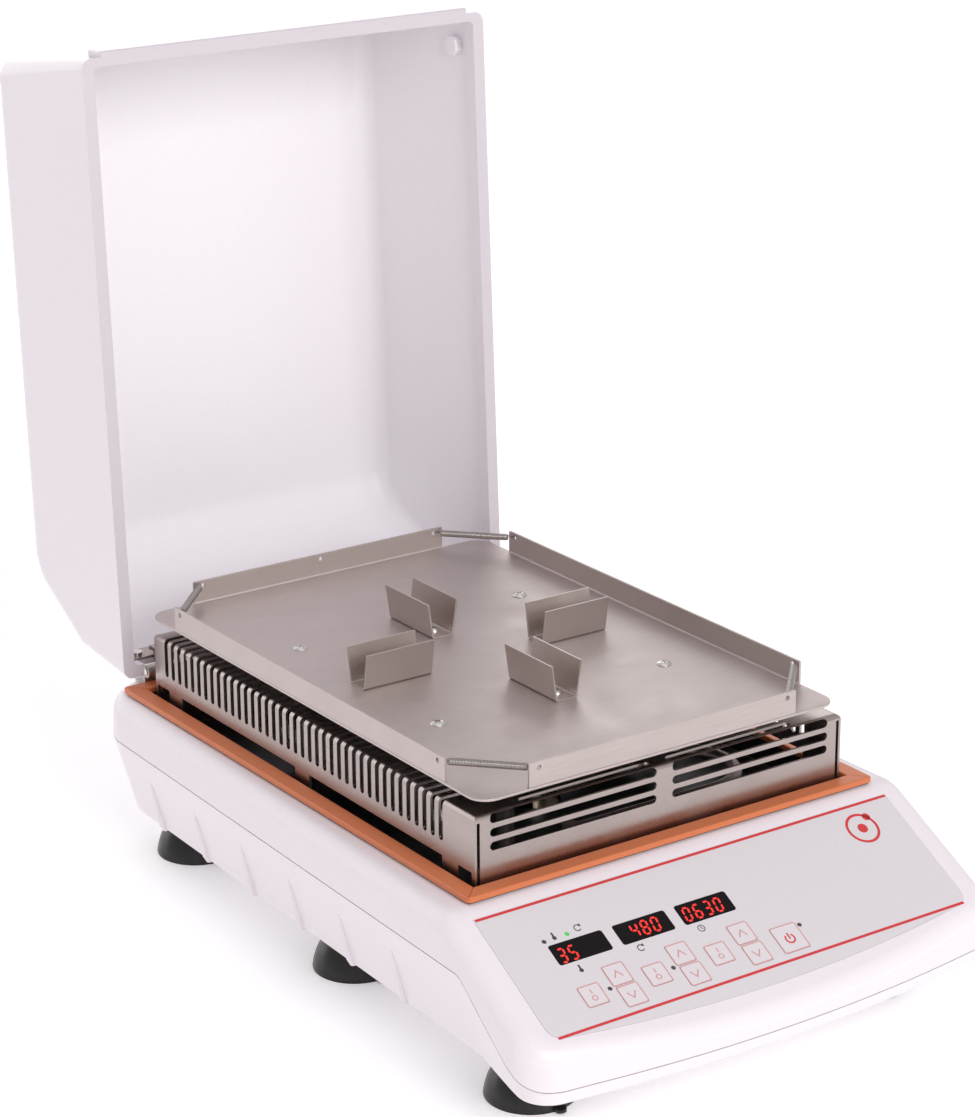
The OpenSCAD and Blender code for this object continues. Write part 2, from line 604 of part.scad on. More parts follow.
module display_board() color("DarkGreen") on_panel() {
    top = board_z + board_t;
    panel_at(-98, 76, board_z) cube([137, 54, board_t]);
    for (x = window_x) panel_at(x + 0.6, window_v + window_size[1] - 0.6, top)
        cube([window_size[0] - 1.2, window_size[1] - 1.2, window_z - top]);
    for (x = [-94, 35], v = [26, 72]) panel_at(x, v, top) cylinder(r = 3, h = -panel_wall - top);
}
module display_windows() color("Black") on_panel() for (x = window_x)
    panel_at(x + 0.1, window_v + window_size[1] - 0.1, window_z)
        cube([window_size[0] - 0.2, window_size[1] - 0.2, overlay_t - overlay_recess - window_z]);
module indicator_leds() color("LimeGreen") on_panel() for (p = led_spots)
    panel_at(p[0], p[1], board_z + board_t)
        cylinder(r = led_r, h = overlay_t - overlay_recess - board_z - board_t);
module panel_overlay() color("Gainsboro") on_panel() difference() {
    panel_at(0, 0, -overlay_recess) linear_extrude(overlay_t) overlay_outline();
    for (x = window_x) panel_at(x, window_v + window_size[1], -5)
        cube([window_size[0], window_size[1], 10]);
    key_pockets(5);
    for (p = led_spots) panel_at(p[0], p[1], -5) cylinder(r = led_r + 0.05, h = 10);
}

// Each key is a square cap with a low raised border, pressed straight into the panel.
key_proud = 0.25;
module key_cap(i) color("WhiteSmoke") on_panel() let (k = keys[i]) panel_at(k[0], k[1], 0) {
    translate([0, 0, -key_depth]) linear_extrude(key_depth + key_proud) key_outline(k[2], 0);
    translate([0, 0, key_proud]) linear_extrude(0.1) difference() {
        key_outline(k[2], -0.4);
        key_outline(k[2], -0.9);
    }
}
module key_temp_power() key_cap(0);
module key_temp_up() key_cap(1);
module key_temp_down() key_cap(2);
module key_speed_power() key_cap(3);
module key_speed_up() key_cap(4);
module key_speed_down() key_cap(5);
module key_time_power() key_cap(6);
module key_time_up() key_cap(7);
module key_time_down() key_cap(8);
module key_standby() key_cap(9);

// --- lid ---------------------------------------------------------------------------------------------
lid_half_w = [110.5, 106.5];    // at the rim and at the top
lid_rear_y = 148.4;
shoulder_z = 48;                // level with the tray's flanges, where the rear wall turns in
rear_lean = 4.5;                // lean of the rear wall below the shoulder
rear_top_lean = 21.3;           // and above it, where the rear roll begins
rear_draft = atan(rear_lean / shoulder_z);
lid_rear_r = 26;
rim_r = 5;
rim_w = 6;
rim_front_w = 4.2;
rim_h = 7;
handle = [101, 12, 3.5];        // half width, depth below the rim and how far it stands out
knuckle_r = 3.2;
pin_rad = 1.6;
hinge_x = 82;
notch_half = 17.5;
notch_top = 12;

// Everything on the lid is drawn closed and swung open about the hinge.
module lid_frame() chamber() translate([0, lid_axis[0], lid_axis[1]]) rotate([-lid_open, 0, 0])
    translate([0, -lid_axis[0], -lid_axis[1]]) children();
module lid_skin(in) {
    top = gap + lid_h - in;
    r = rim_r - in;
    rt = lid_top_r - in;
    rr = lid_rear_r - in;
    lean = (lid_half_w[0] - lid_half_w[1]) / lid_h;
    hull() mirrored() {
        for (z = [0, shoulder_z], end = [0, 1])
            translate([lid_half_w[0] - lean * z - in - r, end == 0
                ? lid_front_y + z * tan(front_draft) + in + r
                : lid_rear_y - z * rear_lean / shoulder_z - in - r, gap + z])
                cylinder(r = r, h = 0.5, $fn = 32);
        translate([lid_half_w[1] - in - rt, lid_front_y + lid_h * tan(front_draft) + in + rt, top - rt])
            sphere(r = rt, $fn = 32);
        translate([lid_half_w[1] - in - rt, lid_rear_y - rear_top_lean - in - rr, top - rr])
            rotate([0, 90, 0]) rotate_extrude($fn = 32) translate([rr - rt, 0]) circle(rt, $fn = 32);
    }
}
module rim_opening() translate([-lid_half_w[0] + rim_w, lid_front_y + rim_front_w])
    square([2 * (lid_half_w[0] - rim_w), lid_rear_y - lid_front_y - rim_w - rim_front_w]);
module lid_shell() color("GhostWhite") lid_frame() difference() {
    union() {
        difference() {
            lid_skin(0);
            lid_skin(lid_wall);
            translate([0, 0, -5]) linear_extrude(12) rim_opening();
        }
        // thickened rim
        translate([0, 0, gap]) linear_extrude(rim_h) difference() {
            translate([0, (lid_rear_y + lid_front_y) / 2])
                round_rect(2 * lid_half_w[0] - 1.2, lid_rear_y - lid_front_y - 4.4, rim_r);
            rim_opening();
        }
        // lifting lip along the front
        translate([-handle[0], lid_front_y - handle[2] + 0.8, gap])
            cube([2 * handle[0], handle[2] + 2, handle[1]]);
        translate([104.2, -131, 19]) rotate([0, 90, 0]) cylinder(r = 5, h = 4);
    }
    for (s = [-1, 1]) translate([s * hinge_x - notch_half, lid_rear_y - 13, -1])
        cube([2 * notch_half, 20, notch_top + 1]);
}
strip_z = [12.6, 23];
strip_t = 1.2;
barrel_w = 12;
module lid_hinge_strip() color("Silver") lid_frame() {
    wall_y = lid_rear_y - lid_wall / cos(rear_draft);
    difference() {
        union() {
            translate([0, wall_y - 0.1, 0]) rotate([rear_draft, 0, 0])
                translate([-100, -strip_t, strip_z[0]]) cube([200, strip_t, strip_z[1] - strip_z[0]]);
            for (s = [-1, 1]) translate([s * hinge_x, 0, 0]) {
                translate([-barrel_w / 2, lid_axis[0], lid_axis[1]]) rotate([0, 90, 0])
                    cylinder(r = knuckle_r, h = barrel_w);
                translate([-barrel_w / 2, lid_axis[0] - knuckle_r, lid_axis[1]])
                    cube([barrel_w, 1.8, 6.2]);
                translate([-barrel_w / 2, 139.4, notch_top - 2.2]) cube([barrel_w, 7.2, 1.9]);
                translate([-barrel_w / 2, 139.4, notch_top - 2.2]) cube([barrel_w, 2, 6]);
            }
        }
        for (s = [-1, 1]) translate([s * hinge_x - 20, lid_axis[0], lid_axis[1]])
            rotate([0, 90, 0]) cylinder(r = pin_rad, h = 40);
        for (x = screw_xs) strip_hole(x);
    }
}
screw_xs = [-94, -50, 0, 50, 94];
module strip_frame(x) translate([x, lid_rear_y - lid_wall / cos(rear_draft) - 0.1, 0])
    rotate([rear_draft, 0, 0]) translate([0, 0, (strip_z[0] + strip_z[1]) / 2])
    rotate([90, 0, 0]) children();
module strip_hole(x) strip_frame(x) translate([0, 0, -1]) cylinder(r = 1.6, h = 4);
module lid_hinge_screws() color("Gainsboro") lid_frame() for (x = screw_xs) strip_frame(x) {
    cylinder(r = 1.55, h = strip_t);
    translate([0, 0, strip_t]) cylinder(r = 2.8, h = 1.4);
}
module hinge_pins() color("Gainsboro") lid_frame() for (s = [-1, 1])
    translate([s * hinge_x - 15, lid_axis[0], lid_axis[1]]) rotate([0, 90, 0])
        cylinder(r = pin_rad, h = 30);
module hinge_bases() color("Silver") chamber() for (s = [-1, 1]) translate([s * hinge_x, 0, 0]) {
    for (t = [-1, 1]) translate([t * 10.5 - 4, 0, 0]) difference() {
        union() {
            translate([0, lid_axis[0], lid_axis[1]]) rotate([0, 90, 0])
                cylinder(r = knuckle_r, h = 8);
            translate([0, 149.5, deck_z]) cube([8, 1.8, lid_axis[1] - deck_z]);
        }
        translate([-1, lid_axis[0], lid_axis[1]]) rotate([0, 90, 0])
            cylinder(r = pin_rad + run, h = 10);
    }
    translate([-15, 149.5, deck_z]) cube([30, 9, 1.4]);
}

// --- platform and tray -------------------------------------------------------------------------------
tray_t = 1.2;
tray_corner_r = 9;
side_flange = 113.3;            // half length of the side flanges
end_flange = 72;                // half length of the front and rear flanges
standoff_r = 5;
hook_z = flange_h - 2.6;
spring_r = 1.75;
hook_in = 5;

module platform() chamber() translate([throw[0], throw[1], 0]) children();
module tray_frame() platform() translate([0, 0, tray_rise]) children();
module tray_carrier() color("LightSlateGray") platform() difference() {
    translate([0, 0, carrier_z]) linear_extrude(carrier_t) union() {
        for (s = [-1, 1]) translate([s * 62.4, 0]) round_rect(20, 134, 6);
        translate([0, -38]) square([124, 24], center = true);
        translate([0, 32]) square([124, 24], center = true);
    }
    for (p = crank_spots) translate([p[0], p[1], carrier_z - 1])
        cylinder(r = bearing_r, h = carrier_t + 2);
}
module carrier_bearings() color("Silver") platform() for (p = crank_spots)
    translate([p[0], p[1], carrier_z + 0.5]) ring(bearing_r, pin_r + run, carrier_t - 1);
module tray_standoffs() color("Gainsboro") platform() for (p = standoff_spots)
    translate([p[0], p[1], carrier_z + carrier_t])
        cylinder(r = standoff_r, h = tray_rise - tray_t - carrier_z - carrier_t);
module tray_screws() color("WhiteSmoke") tray_frame() for (p = standoff_spots)
    translate([p[0], p[1], 0]) difference() {
        union() {
            cylinder(r1 = 3.6, r2 = 2.8, h = 1.2);
            translate([0, 0, -tray_t]) cylinder(r = 1.95, h = tray_t);
        }
        translate([0, 0, 0.6]) cylinder(r = 1.4, h = 1, $fn = 6);
    }
module flange_panel(l) difference() {
    translate([-l, 0, -tray_t]) cube([2 * l, tray_t, flange_h + tray_t]);
    for (s = [-1, 1]) translate([s * (l - hook_in), -1, hook_z]) rotate([-90, 0, 0])
        cylinder(r = hook_hole, h = 4, $fn = 24);
}
module tray() color("Silver") tray_frame() {
    difference() {
        translate([0, 0, -tray_t]) linear_extrude(tray_t)
            round_rect(2 * tray_half_w, 2 * tray_half_l, tray_corner_r);
        for (p = standoff_spots) translate([p[0], p[1], -3]) cylinder(r = 2, h = 5);
        for (a = [0:90:270], s = [-1, 1]) rotate([0, 0, a])
            translate([clip_arm + s * clip_screw_at, 0, -3]) cylinder(r = 1.6, h = 5);
    }
    for (s = [0, 1]) rotate([0, 0, 180 * s]) {
        translate([0, -tray_half_l, 0]) flange_panel(end_flange);
        rotate([0, 0, 90]) translate([0, -tray_half_w, 0]) flange_panel(side_flange);
    }
}

// Springy V-shaped channel that grips the rims of the microplates on both sides of it.
clip_l = 36.6;
clip_top_w = 16;
clip_low_w = 10.8;
clip_h = 17.5;
clip_t = 0.8;
clip_screw_at = 10;             // distance of each of a clip's two screws from its middle
module plate_clip(a) color("DarkGray") tray_frame() rotate([0, 0, a]) translate([clip_arm, 0, 0]) {
    lean = atan((clip_top_w - clip_low_w) / 2 / clip_h);
    difference() {
        translate([-clip_l / 2, -clip_low_w / 2, 0]) cube([clip_l, clip_low_w, clip_t]);
        for (s = [-1, 1]) translate([s * clip_screw_at, 0, -1]) cylinder(r = 1.6, h = 3);
    }
    for (s = [0, 1]) mirror([0, s, 0]) translate([-clip_l / 2, clip_low_w / 2, 0]) rotate([-lean, 0, 0])
        translate([0, -clip_t, 0]) cube([clip_l, clip_t, clip_h / cos(lean)]);
}
module plate_clip_right() plate_clip(0);
module plate_clip_rear() plate_clip(90);
module plate_clip_left() plate_clip(180);
module plate_clip_front() plate_clip(270);
module clip_screws() color("WhiteSmoke") tray_frame() for (a = [0:90:270]) rotate([0, 0, a])
    for (s = [-1, 1]) translate([clip_arm + s * clip_screw_at, 0, 0]) {
        translate([0, 0, clip_t]) cylinder(r1 = 3, r2 = 2.2, h = 1.5);
        translate([0, 0, -tray_t]) cylinder(r = 1.55, h = tray_t + clip_t);
    }

// Extension springs hooked across the open corners between neighbouring flanges.
hook_hole = 1.2;                // radius of the hole that each hook passes through
hook_wire = 0.4;
hook_pull = hook_hole - hook_wire;  // the hooks bear on the outer edge of their holes
hook_a = [tray_half_w - 2.8, side_flange - hook_in + hook_pull];
hook_b = [end_flange - hook_in + hook_pull, tray_half_l - 2.8];
module corner_spring() {
    d = [hook_b[0] - hook_a[0], hook_b[1] - hook_a[1]];
    l = norm(d);
    hook_l = 4;
    translate([hook_a[0], hook_a[1], hook_z]) rotate([0, 0, atan2(d[1], d[0])])
        rotate([0, 90, 0]) {
            translate([0, 0, hook_l]) cylinder(r = spring_r, h = l - 2 * hook_l);
            for (z = [0, l - hook_l]) translate([0, 0, z]) cylinder(r = hook_wire, h = hook_l, $fn = 16);
        }
    translate([hook_a[0], hook_a[1], hook_z]) rotate([0, 90, 0])
        cylinder(r = hook_wire, h = 3.8, $fn = 16);
    translate([hook_b[0], hook_b[1], hook_z]) rotate([-90, 0, 0])
        cylinder(r = hook_wire, h = 3.8, $fn = 16);
}
module corner_springs() color("Gainsboro") tray_frame() mirrored() {
    corner_spring();
    mirror([0, 1, 0]) corner_spring();
}

upper_housing();
lower_housing();
chassis_plate();
chamber_pan();
chamber_gasket();
guard_cover();
guard_screws();
heater_element();
temperature_probe();
fan_motor();
fan_wheel();
bearing_towers();
main_bearings();
crankshaft();
counterweight();
driven_pulley();
idler_crank_left();
idler_crank_right();
drive_motor();
motor_pulley();
drive_belt();
control_board();
power_supply();
display_board();
panel_overlay();
display_windows();
indicator_leds();
key_temp_power();
key_temp_up();
key_temp_down();
key_speed_power();
key_speed_up();
key_speed_down();
key_time_power();
key_time_up();
key_time_down();
key_standby();
suction_feet();
foot_screws();
housing_screws();
power_inlet();
hinge_bases();
hinge_pins();
lid_hinge_strip();
lid_hinge_screws();
lid_shell();
tray_carrier();
carrier_bearings();
tray_standoffs();
tray();
tray_screws();
plate_clip_left();
plate_clip_right();
plate_clip_front();
plate_clip_rear();
clip_screws();
corner_springs();
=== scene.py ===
"""Looks of the incubating orbital shaker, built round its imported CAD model.

Lengths here are millimetres in the chamber frame: its origin is the middle of the gasket's top
face, +X to the right, +Y to the rear and +Z up. A piece is moved into the part's own frame, in
metres, when its object is made.
"""
import json
import math

import bmesh
import bpy
from mathutils import Matrix, Vector


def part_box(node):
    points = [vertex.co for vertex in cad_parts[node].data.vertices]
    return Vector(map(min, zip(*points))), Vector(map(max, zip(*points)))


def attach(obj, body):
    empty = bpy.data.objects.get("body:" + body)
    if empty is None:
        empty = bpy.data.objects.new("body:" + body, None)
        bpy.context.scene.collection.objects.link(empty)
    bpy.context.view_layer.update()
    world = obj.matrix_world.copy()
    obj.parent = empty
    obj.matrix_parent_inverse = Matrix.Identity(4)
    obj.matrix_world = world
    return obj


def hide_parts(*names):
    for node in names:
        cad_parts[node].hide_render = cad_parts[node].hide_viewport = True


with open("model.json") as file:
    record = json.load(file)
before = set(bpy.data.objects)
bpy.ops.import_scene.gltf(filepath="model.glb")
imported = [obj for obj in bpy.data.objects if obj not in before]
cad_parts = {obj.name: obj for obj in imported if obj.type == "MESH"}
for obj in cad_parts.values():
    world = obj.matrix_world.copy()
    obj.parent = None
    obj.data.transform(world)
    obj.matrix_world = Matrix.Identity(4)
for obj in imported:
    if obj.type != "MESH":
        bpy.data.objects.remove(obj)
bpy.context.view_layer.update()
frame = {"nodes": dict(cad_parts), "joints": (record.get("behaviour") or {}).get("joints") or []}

# --- frames -------------------------------------------------------------------------------------
MM = 0.001
JOINTS = {j["name"]: j for j in frame["joints"]}


def box_mm(node):
    low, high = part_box(node)
    return low / MM, high / MM


gasket_low, gasket_high = box_mm("chamber_gasket")
CHAMBER = Vector((0, (gasket_low.y + gasket_high.y) / 2, gasket_high.z))
tray_low, tray_high = box_mm("tray")
TRAY_T = 1.2
TRAY_AT = Vector(((tray_low.x + tray_high.x) / 2, (tray_low.y + tray_high.y) / 2,
                  tray_low.z + TRAY_T)) - CHAMBER
HINGE = Vector(JOINTS["lid_hinge"]["pos_m"]) / MM - CHAMBER
LID_OPEN = math.radians(JOINTS["lid_hinge"]["range_deg"][1])
PANEL_SLOPE = math.radians(29)
CREASE_Y = -147
DECK_Z = -3.5
FLOOR_Z = -64

BASE = Matrix.Identity(4)
LID = (Matrix.Translation(HINGE) @ Matrix.Rotation(-LID_OPEN, 4, "X")
       @ Matrix.Translation(-HINGE))
TRAY = Matrix.Translation(TRAY_AT)
PANEL = Matrix.Translation((0, CREASE_Y, DECK_Z)) @ Matrix.Rotation(PANEL_SLOPE, 4, "X")
TO_PART = Matrix.Scale(MM, 4) @ Matrix.Translation(CHAMBER)


# --- materials ----------------------------------------------------------------------------------
class Shader:
    """A Principled material whose colour, roughness and bump come from noise in object space."""

    def __init__(self, name, color, roughness, metallic=0.0, **sockets):
        self.material = bpy.data.materials.new(name)
        self.material.use_nodes = True
        self.tree = self.material.node_tree
        self.bsdf = next(n for n in self.tree.nodes if n.type == "BSDF_PRINCIPLED")
        self.color = (*color, 1.0)
        self.roughness = roughness
        self.bsdf.inputs["Base Color"].default_value = self.color
        self.bsdf.inputs["Roughness"].default_value = roughness
        self.bsdf.inputs["Metallic"].default_value = metallic
        for socket, value in sockets.items():
            self.bsdf.inputs[socket.replace("_", " ")].default_value = value
        self.coords = self.tree.nodes.new("ShaderNodeTexCoord")
        self.height = None

    def link(self, a, b):
        self.tree.links.new(a, b)

    def noise(self, per_mm, stretch=(1, 1, 1), detail=3.0):
        """Noise with about per_mm features to the millimetre, drawn out by stretch."""
        mapping = self.tree.nodes.new("ShaderNodeMapping")
        mapping.inputs["Scale"].default_value = [per_mm / MM / s for s in stretch]
        texture = self.tree.nodes.new("ShaderNodeTexNoise")
        texture.inputs["Scale"].default_value = 1.0
        texture.inputs["Detail"].default_value = detail
        self.link(self.coords.outputs["Object"], mapping.inputs["Vector"])
        self.link(mapping.outputs["Vector"], texture.inputs["Vector"])
        return texture.outputs["Fac"]

    def tint(self, source, amount):
        """Lightens and darkens the colour by amount along a noise."""
        ramp = self.tree.nodes.new("ShaderNodeValToRGB")
        for element, place, factor in zip(ramp.color_ramp.elements, (0.35, 0.65),
                                          (1 - amount, 1 + amount)):
            element.position = place
            element.color = (*[min(c * factor, 1.0) for c in self.color[:3]], 1.0)
        self.link(source, ramp.inputs["Fac"])
        self.link(ramp.outputs["Color"], self.bsdf.inputs["Base Color"])
        return self

    def gloss(self, source, amount):
        """Varies the roughness by amount along a noise."""
        spread = self.tree.nodes.new("ShaderNodeMapRange")
        spread.inputs["From Min"].default_value = 0.3
        spread.inputs["From Max"].default_value = 0.7
        spread.inputs["To Min"].default_value = self.roughness - amount
        spread.inputs["To Max"].default_value = self.roughness + amount
        self.link(source, spread.inputs["Value"])
        self.link(spread.outputs["Result"], self.bsdf.inputs["Roughness"])
        return self

    def bump(self, source, depth_mm):
        """Adds relief of a depth along a noise, on top of any relief so far."""
        bump = self.tree.nodes.new("ShaderNodeBump")
        bump.inputs["Distance"].default_value = depth_mm * MM
        self.link(source, bump.inputs["Height"])
        if self.height:
            self.link(self.height, bump.inputs["Normal"])
        self.height = bump.outputs["Normal"]
        self.link(self.height, self.bsdf.inputs["Normal"])
        return self


def moulded(name, color, roughness, grain_mm=0.006, **sockets):
    """Moulded plastic: a fine spark-eroded grain, faint mottling and uneven gloss."""
    shader = Shader(name, color, roughness, **sockets)
    shader.tint(shader.noise(0.4, detail=2), 0.006)
    shader.gloss(shader.noise(0.3), 0.02)
    return shader.bump(shader.noise(2.2), grain_mm).material


def brushed(name, color, roughness, along="x", lines_mm=0.006, **sockets):
    """Brushed metal: fine lines drawn out along one axis, and smudged gloss."""
    stretch = {"x": (60, 1, 1), "y": (1, 60, 1), "z": (1, 1, 60), "none": (1, 1, 1)}[along]
    shader = Shader(name, color, roughness, 1.0, **sockets)
    lines = shader.noise(3.5, stretch)
    shader.tint(lines, 0.05)
    shader.gloss(shader.noise(0.05), 0.05)
    return shader.bump(lines, lines_mm).material


WHITE = (0.80, 0.745, 0.785)
white_shell = moulded("white_shell", WHITE, 0.34, Coat_Weight=0.15, Coat_Roughness=0.25)
white_lid = moulded("white_lid", WHITE, 0.3, Coat_Weight=0.15, Coat_Roughness=0.2)
white_inside = moulded("white_inside", WHITE, 0.45)
# Lighter and darker copies of the white: painted light for the lid's inner faces, painted shade
# for its rim face.
white_painted_light_inside = moulded("white_painted_light_inside", (0.885, 0.855, 0.885), 0.36)
white_painted_shade_rim = moulded("white_painted_shade_rim", (0.60, 0.55, 0.59), 0.4)
silicone = moulded("silicone", (0.60, 0.165, 0.055), 0.42, 0.03)
rubber = moulded("foot_rubber", (0.009, 0.0075, 0.007), 0.3, 0.01, Specular_IOR_Level=0.45)
tray_steel = brushed("tray_steel", (0.56, 0.50, 0.48), 0.5, "x", 0.004, Anisotropic=0.3)
guard_steel = brushed("guard_steel", (0.42, 0.365, 0.345), 0.3, "y", 0.004, Anisotropic=0.3)
clip_steel = brushed("clip_steel", (0.58, 0.515, 0.485), 0.36, "none", 0.004)
bright_steel = brushed("bright_steel", (0.68, 0.67, 0.66), 0.2, "none", 0.003)
spring_steel = brushed("spring_steel", (0.42, 0.385, 0.37), 0.3, "none", 0.003)
zinc = brushed("zinc_screw", (0.72, 0.70, 0.68), 0.22, "none", 0.004)
dark_enamel = moulded("dark_enamel", (0.018, 0.017, 0.019), 0.38, 0.02)
motor_enamel = moulded("motor_enamel", (0.012, 0.012, 0.013), 0.35, 0.02)
cast_aluminium = brushed("cast_aluminium", (0.55, 0.56, 0.57), 0.45, "none", 0.05)
weight_brass = brushed("weight_brass", (0.33, 0.27, 0.18), 0.35, "none", 0.004)
belt_rubber = moulded("belt_rubber", (0.012, 0.012, 0.012), 0.65, 0.05)
board_green = moulded("board_green", (0.012, 0.09, 0.03), 0.35, 0.02)
black_plastic = moulded("black_plastic", (0.012, 0.012, 0.012), 0.42, 0.03)
film = moulded("printed_film", (0.665, 0.63, 0.655), 0.36, 0.004, Coat_Weight=0.3,
               Coat_Roughness=0.3)
key_film = moulded("key_film", (0.69, 0.645, 0.67), 0.38, 0.004, Coat_Weight=0.3,
                   Coat_Roughness=0.3)
red_ink = moulded("red_ink", (0.60, 0.035, 0.04), 0.4, 0.003)
pale_red_ink = moulded("pale_red_ink", (0.62, 0.28, 0.27), 0.4, 0.003)
dark_ink = moulded("dark_ink", (0.05, 0.045, 0.05), 0.4, 0.003)
window_tint = moulded("window_tint", (0.004, 0.003, 0.003), 0.3, 0.001, Specular_IOR_Level=0.15)


def glowing(name, color, strength):
    """A lit lamp or display bar behind clear plastic."""
    shader = Shader(name, [c * 0.5 for c in color], 0.35, Emission_Strength=strength)
    shader.bsdf.inputs["Emission Color"].default_value = (*color, 1.0)
    return shader.bump(shader.noise(2.0), 0.004).material


digit_red = glowing("digit_red", (0.9, 0.03, 0.02), 0.75)
lamp_green = glowing("lamp_green", (0.06, 0.55, 0.10), 0.7)

NODE_LOOKS = {
    "chassis_plate": bright_steel, "chamber_pan": dark_enamel, "guard_cover": guard_steel,
    "guard_screws": zinc, "heater_element": clip_steel, "temperature_probe": bright_steel,
    "fan_motor": motor_enamel, "fan_wheel": black_plastic, "bearing_towers": cast_aluminium,
    "main_bearings": bright_steel, "crankshaft": bright_steel, "counterweight": weight_brass,
    "driven_pulley": cast_aluminium, "idler_crank_left": bright_steel,
    "idler_crank_right": bright_steel, "drive_motor": motor_enamel,
    "motor_pulley": cast_aluminium, "drive_belt": belt_rubber, "control_board": board_green,
    "power_supply": board_green, "display_board": board_green, "foot_screws": zinc,
    "housing_screws": zinc, "power_inlet": black_plastic, "hinge_bases": tray_steel,
    "hinge_pins": bright_steel, "lid_hinge_strip": guard_steel, "lid_hinge_screws": zinc,
    "tray_carrier": cast_aluminium, "carrier_bearings": bright_steel,
    "tray_standoffs": bright_steel,
}
for node, look in NODE_LOOKS.items():
    mesh = frame["nodes"][node].data
    mesh.materials.clear()
    mesh.materials.append(look)


# --- meshes -------------------------------------------------------------------------------------
def new_mesh(shape):
    """A mesh from points and faces, with its faces turned outwards."""
    mesh = bpy.data.meshes.new("shape")
    mesh.from_pydata([tuple(v) for v in shape[0]], [], [tuple(f) for f in shape[1]])
    mesh.validate()
    work = bmesh.new()
    work.from_mesh(mesh)
    bmesh.ops.recalc_face_normals(work, faces=work.faces)
    work.to_mesh(mesh)
    work.free()
    return mesh


def joined(*shapes):
    verts, faces = [], []
    for shape in shapes:
        start = len(verts)
        verts += [Vector(v) for v in shape[0]]
        faces += [[i + start for i in f] for f in shape[1]]
    return verts, faces


def placed(shape, place):
    return [place @ Vector(v) for v in shape[0]], shape[1]


def moved(shape, x=0.0, y=0.0, z=0.0):
    return placed(shape, Matrix.Translation((x, y, z)))


def turned(shape, degrees):
    return placed(shape, Matrix.Rotation(math.radians(degrees), 4, "Z"))


def facing_front(x, y, z):
    """Placement at a point that turns a shape's Z axis to the front, which is -Y."""
    return Matrix.Translation((x, y, z)) @ Matrix.Rotation(math.radians(90), 4, "X")


def as_shape(mesh):
    return [v.co.copy() for v in mesh.vertices], [tuple(f.vertices) for f in mesh.polygons]


def mirrored(shape):
    """The shape mirrored left to right."""
    return [(-v[0], v[1], v[2]) for v in shape[0]], [tuple(reversed(f)) for f in shape[1]]


def evaluated(mesh, modifiers):
    """The mesh after some modifiers; a Boolean takes its tool's shape in place of an object."""
    obj = bpy.data.objects.new("work", mesh)
    bpy.context.scene.collection.objects.link(obj)
    tools = []
    for kind, settings in modifiers:
        modifier = obj.modifiers.new(kind, kind)
        for key, value in settings.items():
            if key == "object":
                value = bpy.data.objects.new("tool", new_mesh(value))
                bpy.context.scene.collection.objects.link(value)
                tools.append(value)
            setattr(modifier, key, value)
    graph = bpy.context.evaluated_depsgraph_get()
    result = bpy.data.meshes.new_from_object(obj.evaluated_get(graph))
    for extra in [obj, *tools]:
        bpy.data.objects.remove(extra)
    return result


def bevel(width, segments=2, angle=40):
    return ("BEVEL", {"width": width, "segments": segments, "limit_method": "ANGLE",
                      "angle_limit": math.radians(angle), "harden_normals": False})


def cut(shape):
    return ("BOOLEAN", {"operation": "DIFFERENCE", "solver": "EXACT", "object": shape})


def fuse(shape):
    return ("BOOLEAN", {"operation": "UNION", "solver": "EXACT", "object": shape})


def piece(name, shape, frame_matrix, body, look, replaces=(), modifiers=(), sharp=30):
    """Makes one visible piece from a shape in a local frame."""
    mesh = new_mesh(shape) if isinstance(shape, tuple) else shape
    if modifiers:
        mesh = evaluated(mesh, modifiers)
    mesh.transform(TO_PART @ frame_matrix)
    mesh.materials.clear()
    mesh.materials.append(look)
    mesh.shade_smooth()
    mesh.set_sharp_from_angle(angle=math.radians(sharp))
    obj = bpy.data.objects.new(name, mesh)
    bpy.context.scene.collection.objects.link(obj)
    weighted = obj.modifiers.new("even_shading", "WEIGHTED_NORMAL")
    weighted.keep_sharp = True
    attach(obj, body)
    if replaces:
        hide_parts(*replaces)
    return obj


def block(x0, x1, y0, y1, z0, z1):
    verts = [(x, y, z) for z in (z0, z1) for y in (y0, y1) for x in (x0, x1)]
    return verts, [(0, 2, 3, 1), (4, 5, 7, 6), (0, 1, 5, 4), (2, 6, 7, 3), (0, 4, 6, 2),
                   (1, 3, 7, 5)]


def prism(outline, z0, z1):
    """An outline, anticlockwise in X and Y, made solid from z0 to z1."""
    n = len(outline)
    verts = [(x, y, z) for z in (z0, z1) for x, y in outline]
    sides = [(i, (i + 1) % n, (i + 1) % n + n, i + n) for i in range(n)]
    return verts, [tuple(range(n - 1, -1, -1)), tuple(range(n, 2 * n)), *sides]


def arc(cx, cy, r, a0, a1, steps):
    return [(cx + r * math.cos(math.radians(a0 + (a1 - a0) * i / steps)),
             cy + r * math.sin(math.radians(a0 + (a1 - a0) * i / steps)))
            for i in range(steps + 1)]


def round_rect(w, h, r, cx=0.0, cy=0.0, steps=6):
    x, y = w / 2 - r, h / 2 - r
    return [p for sx, sy, a in ((1, 1, 0), (-1, 1, 90), (-1, -1, 180), (1, -1, 270))
            for p in arc(cx + sx * x, cy + sy * y, r, a, a + 90, steps)]


def lathe(profile, steps=48):
    """Turns a profile of (radius, z) points, from the bottom up, about the Z axis."""
    n = len(profile)
    verts = [(r * math.cos(2 * math.pi * k / steps), r * math.sin(2 * math.pi * k / steps), z)
             for k in range(steps) for r, z in profile]
    faces = [(k * n + i, (k + 1) % steps * n + i, (k + 1) % steps * n + i + 1, k * n + i + 1)
             for k in range(steps) for i in range(n - 1)]
    for i, flip in ((0, True), (n - 1, False)):
        loop = [k * n + i for k in range(steps)]
        faces.append(tuple(reversed(loop)) if flip else tuple(loop))
    return verts, faces


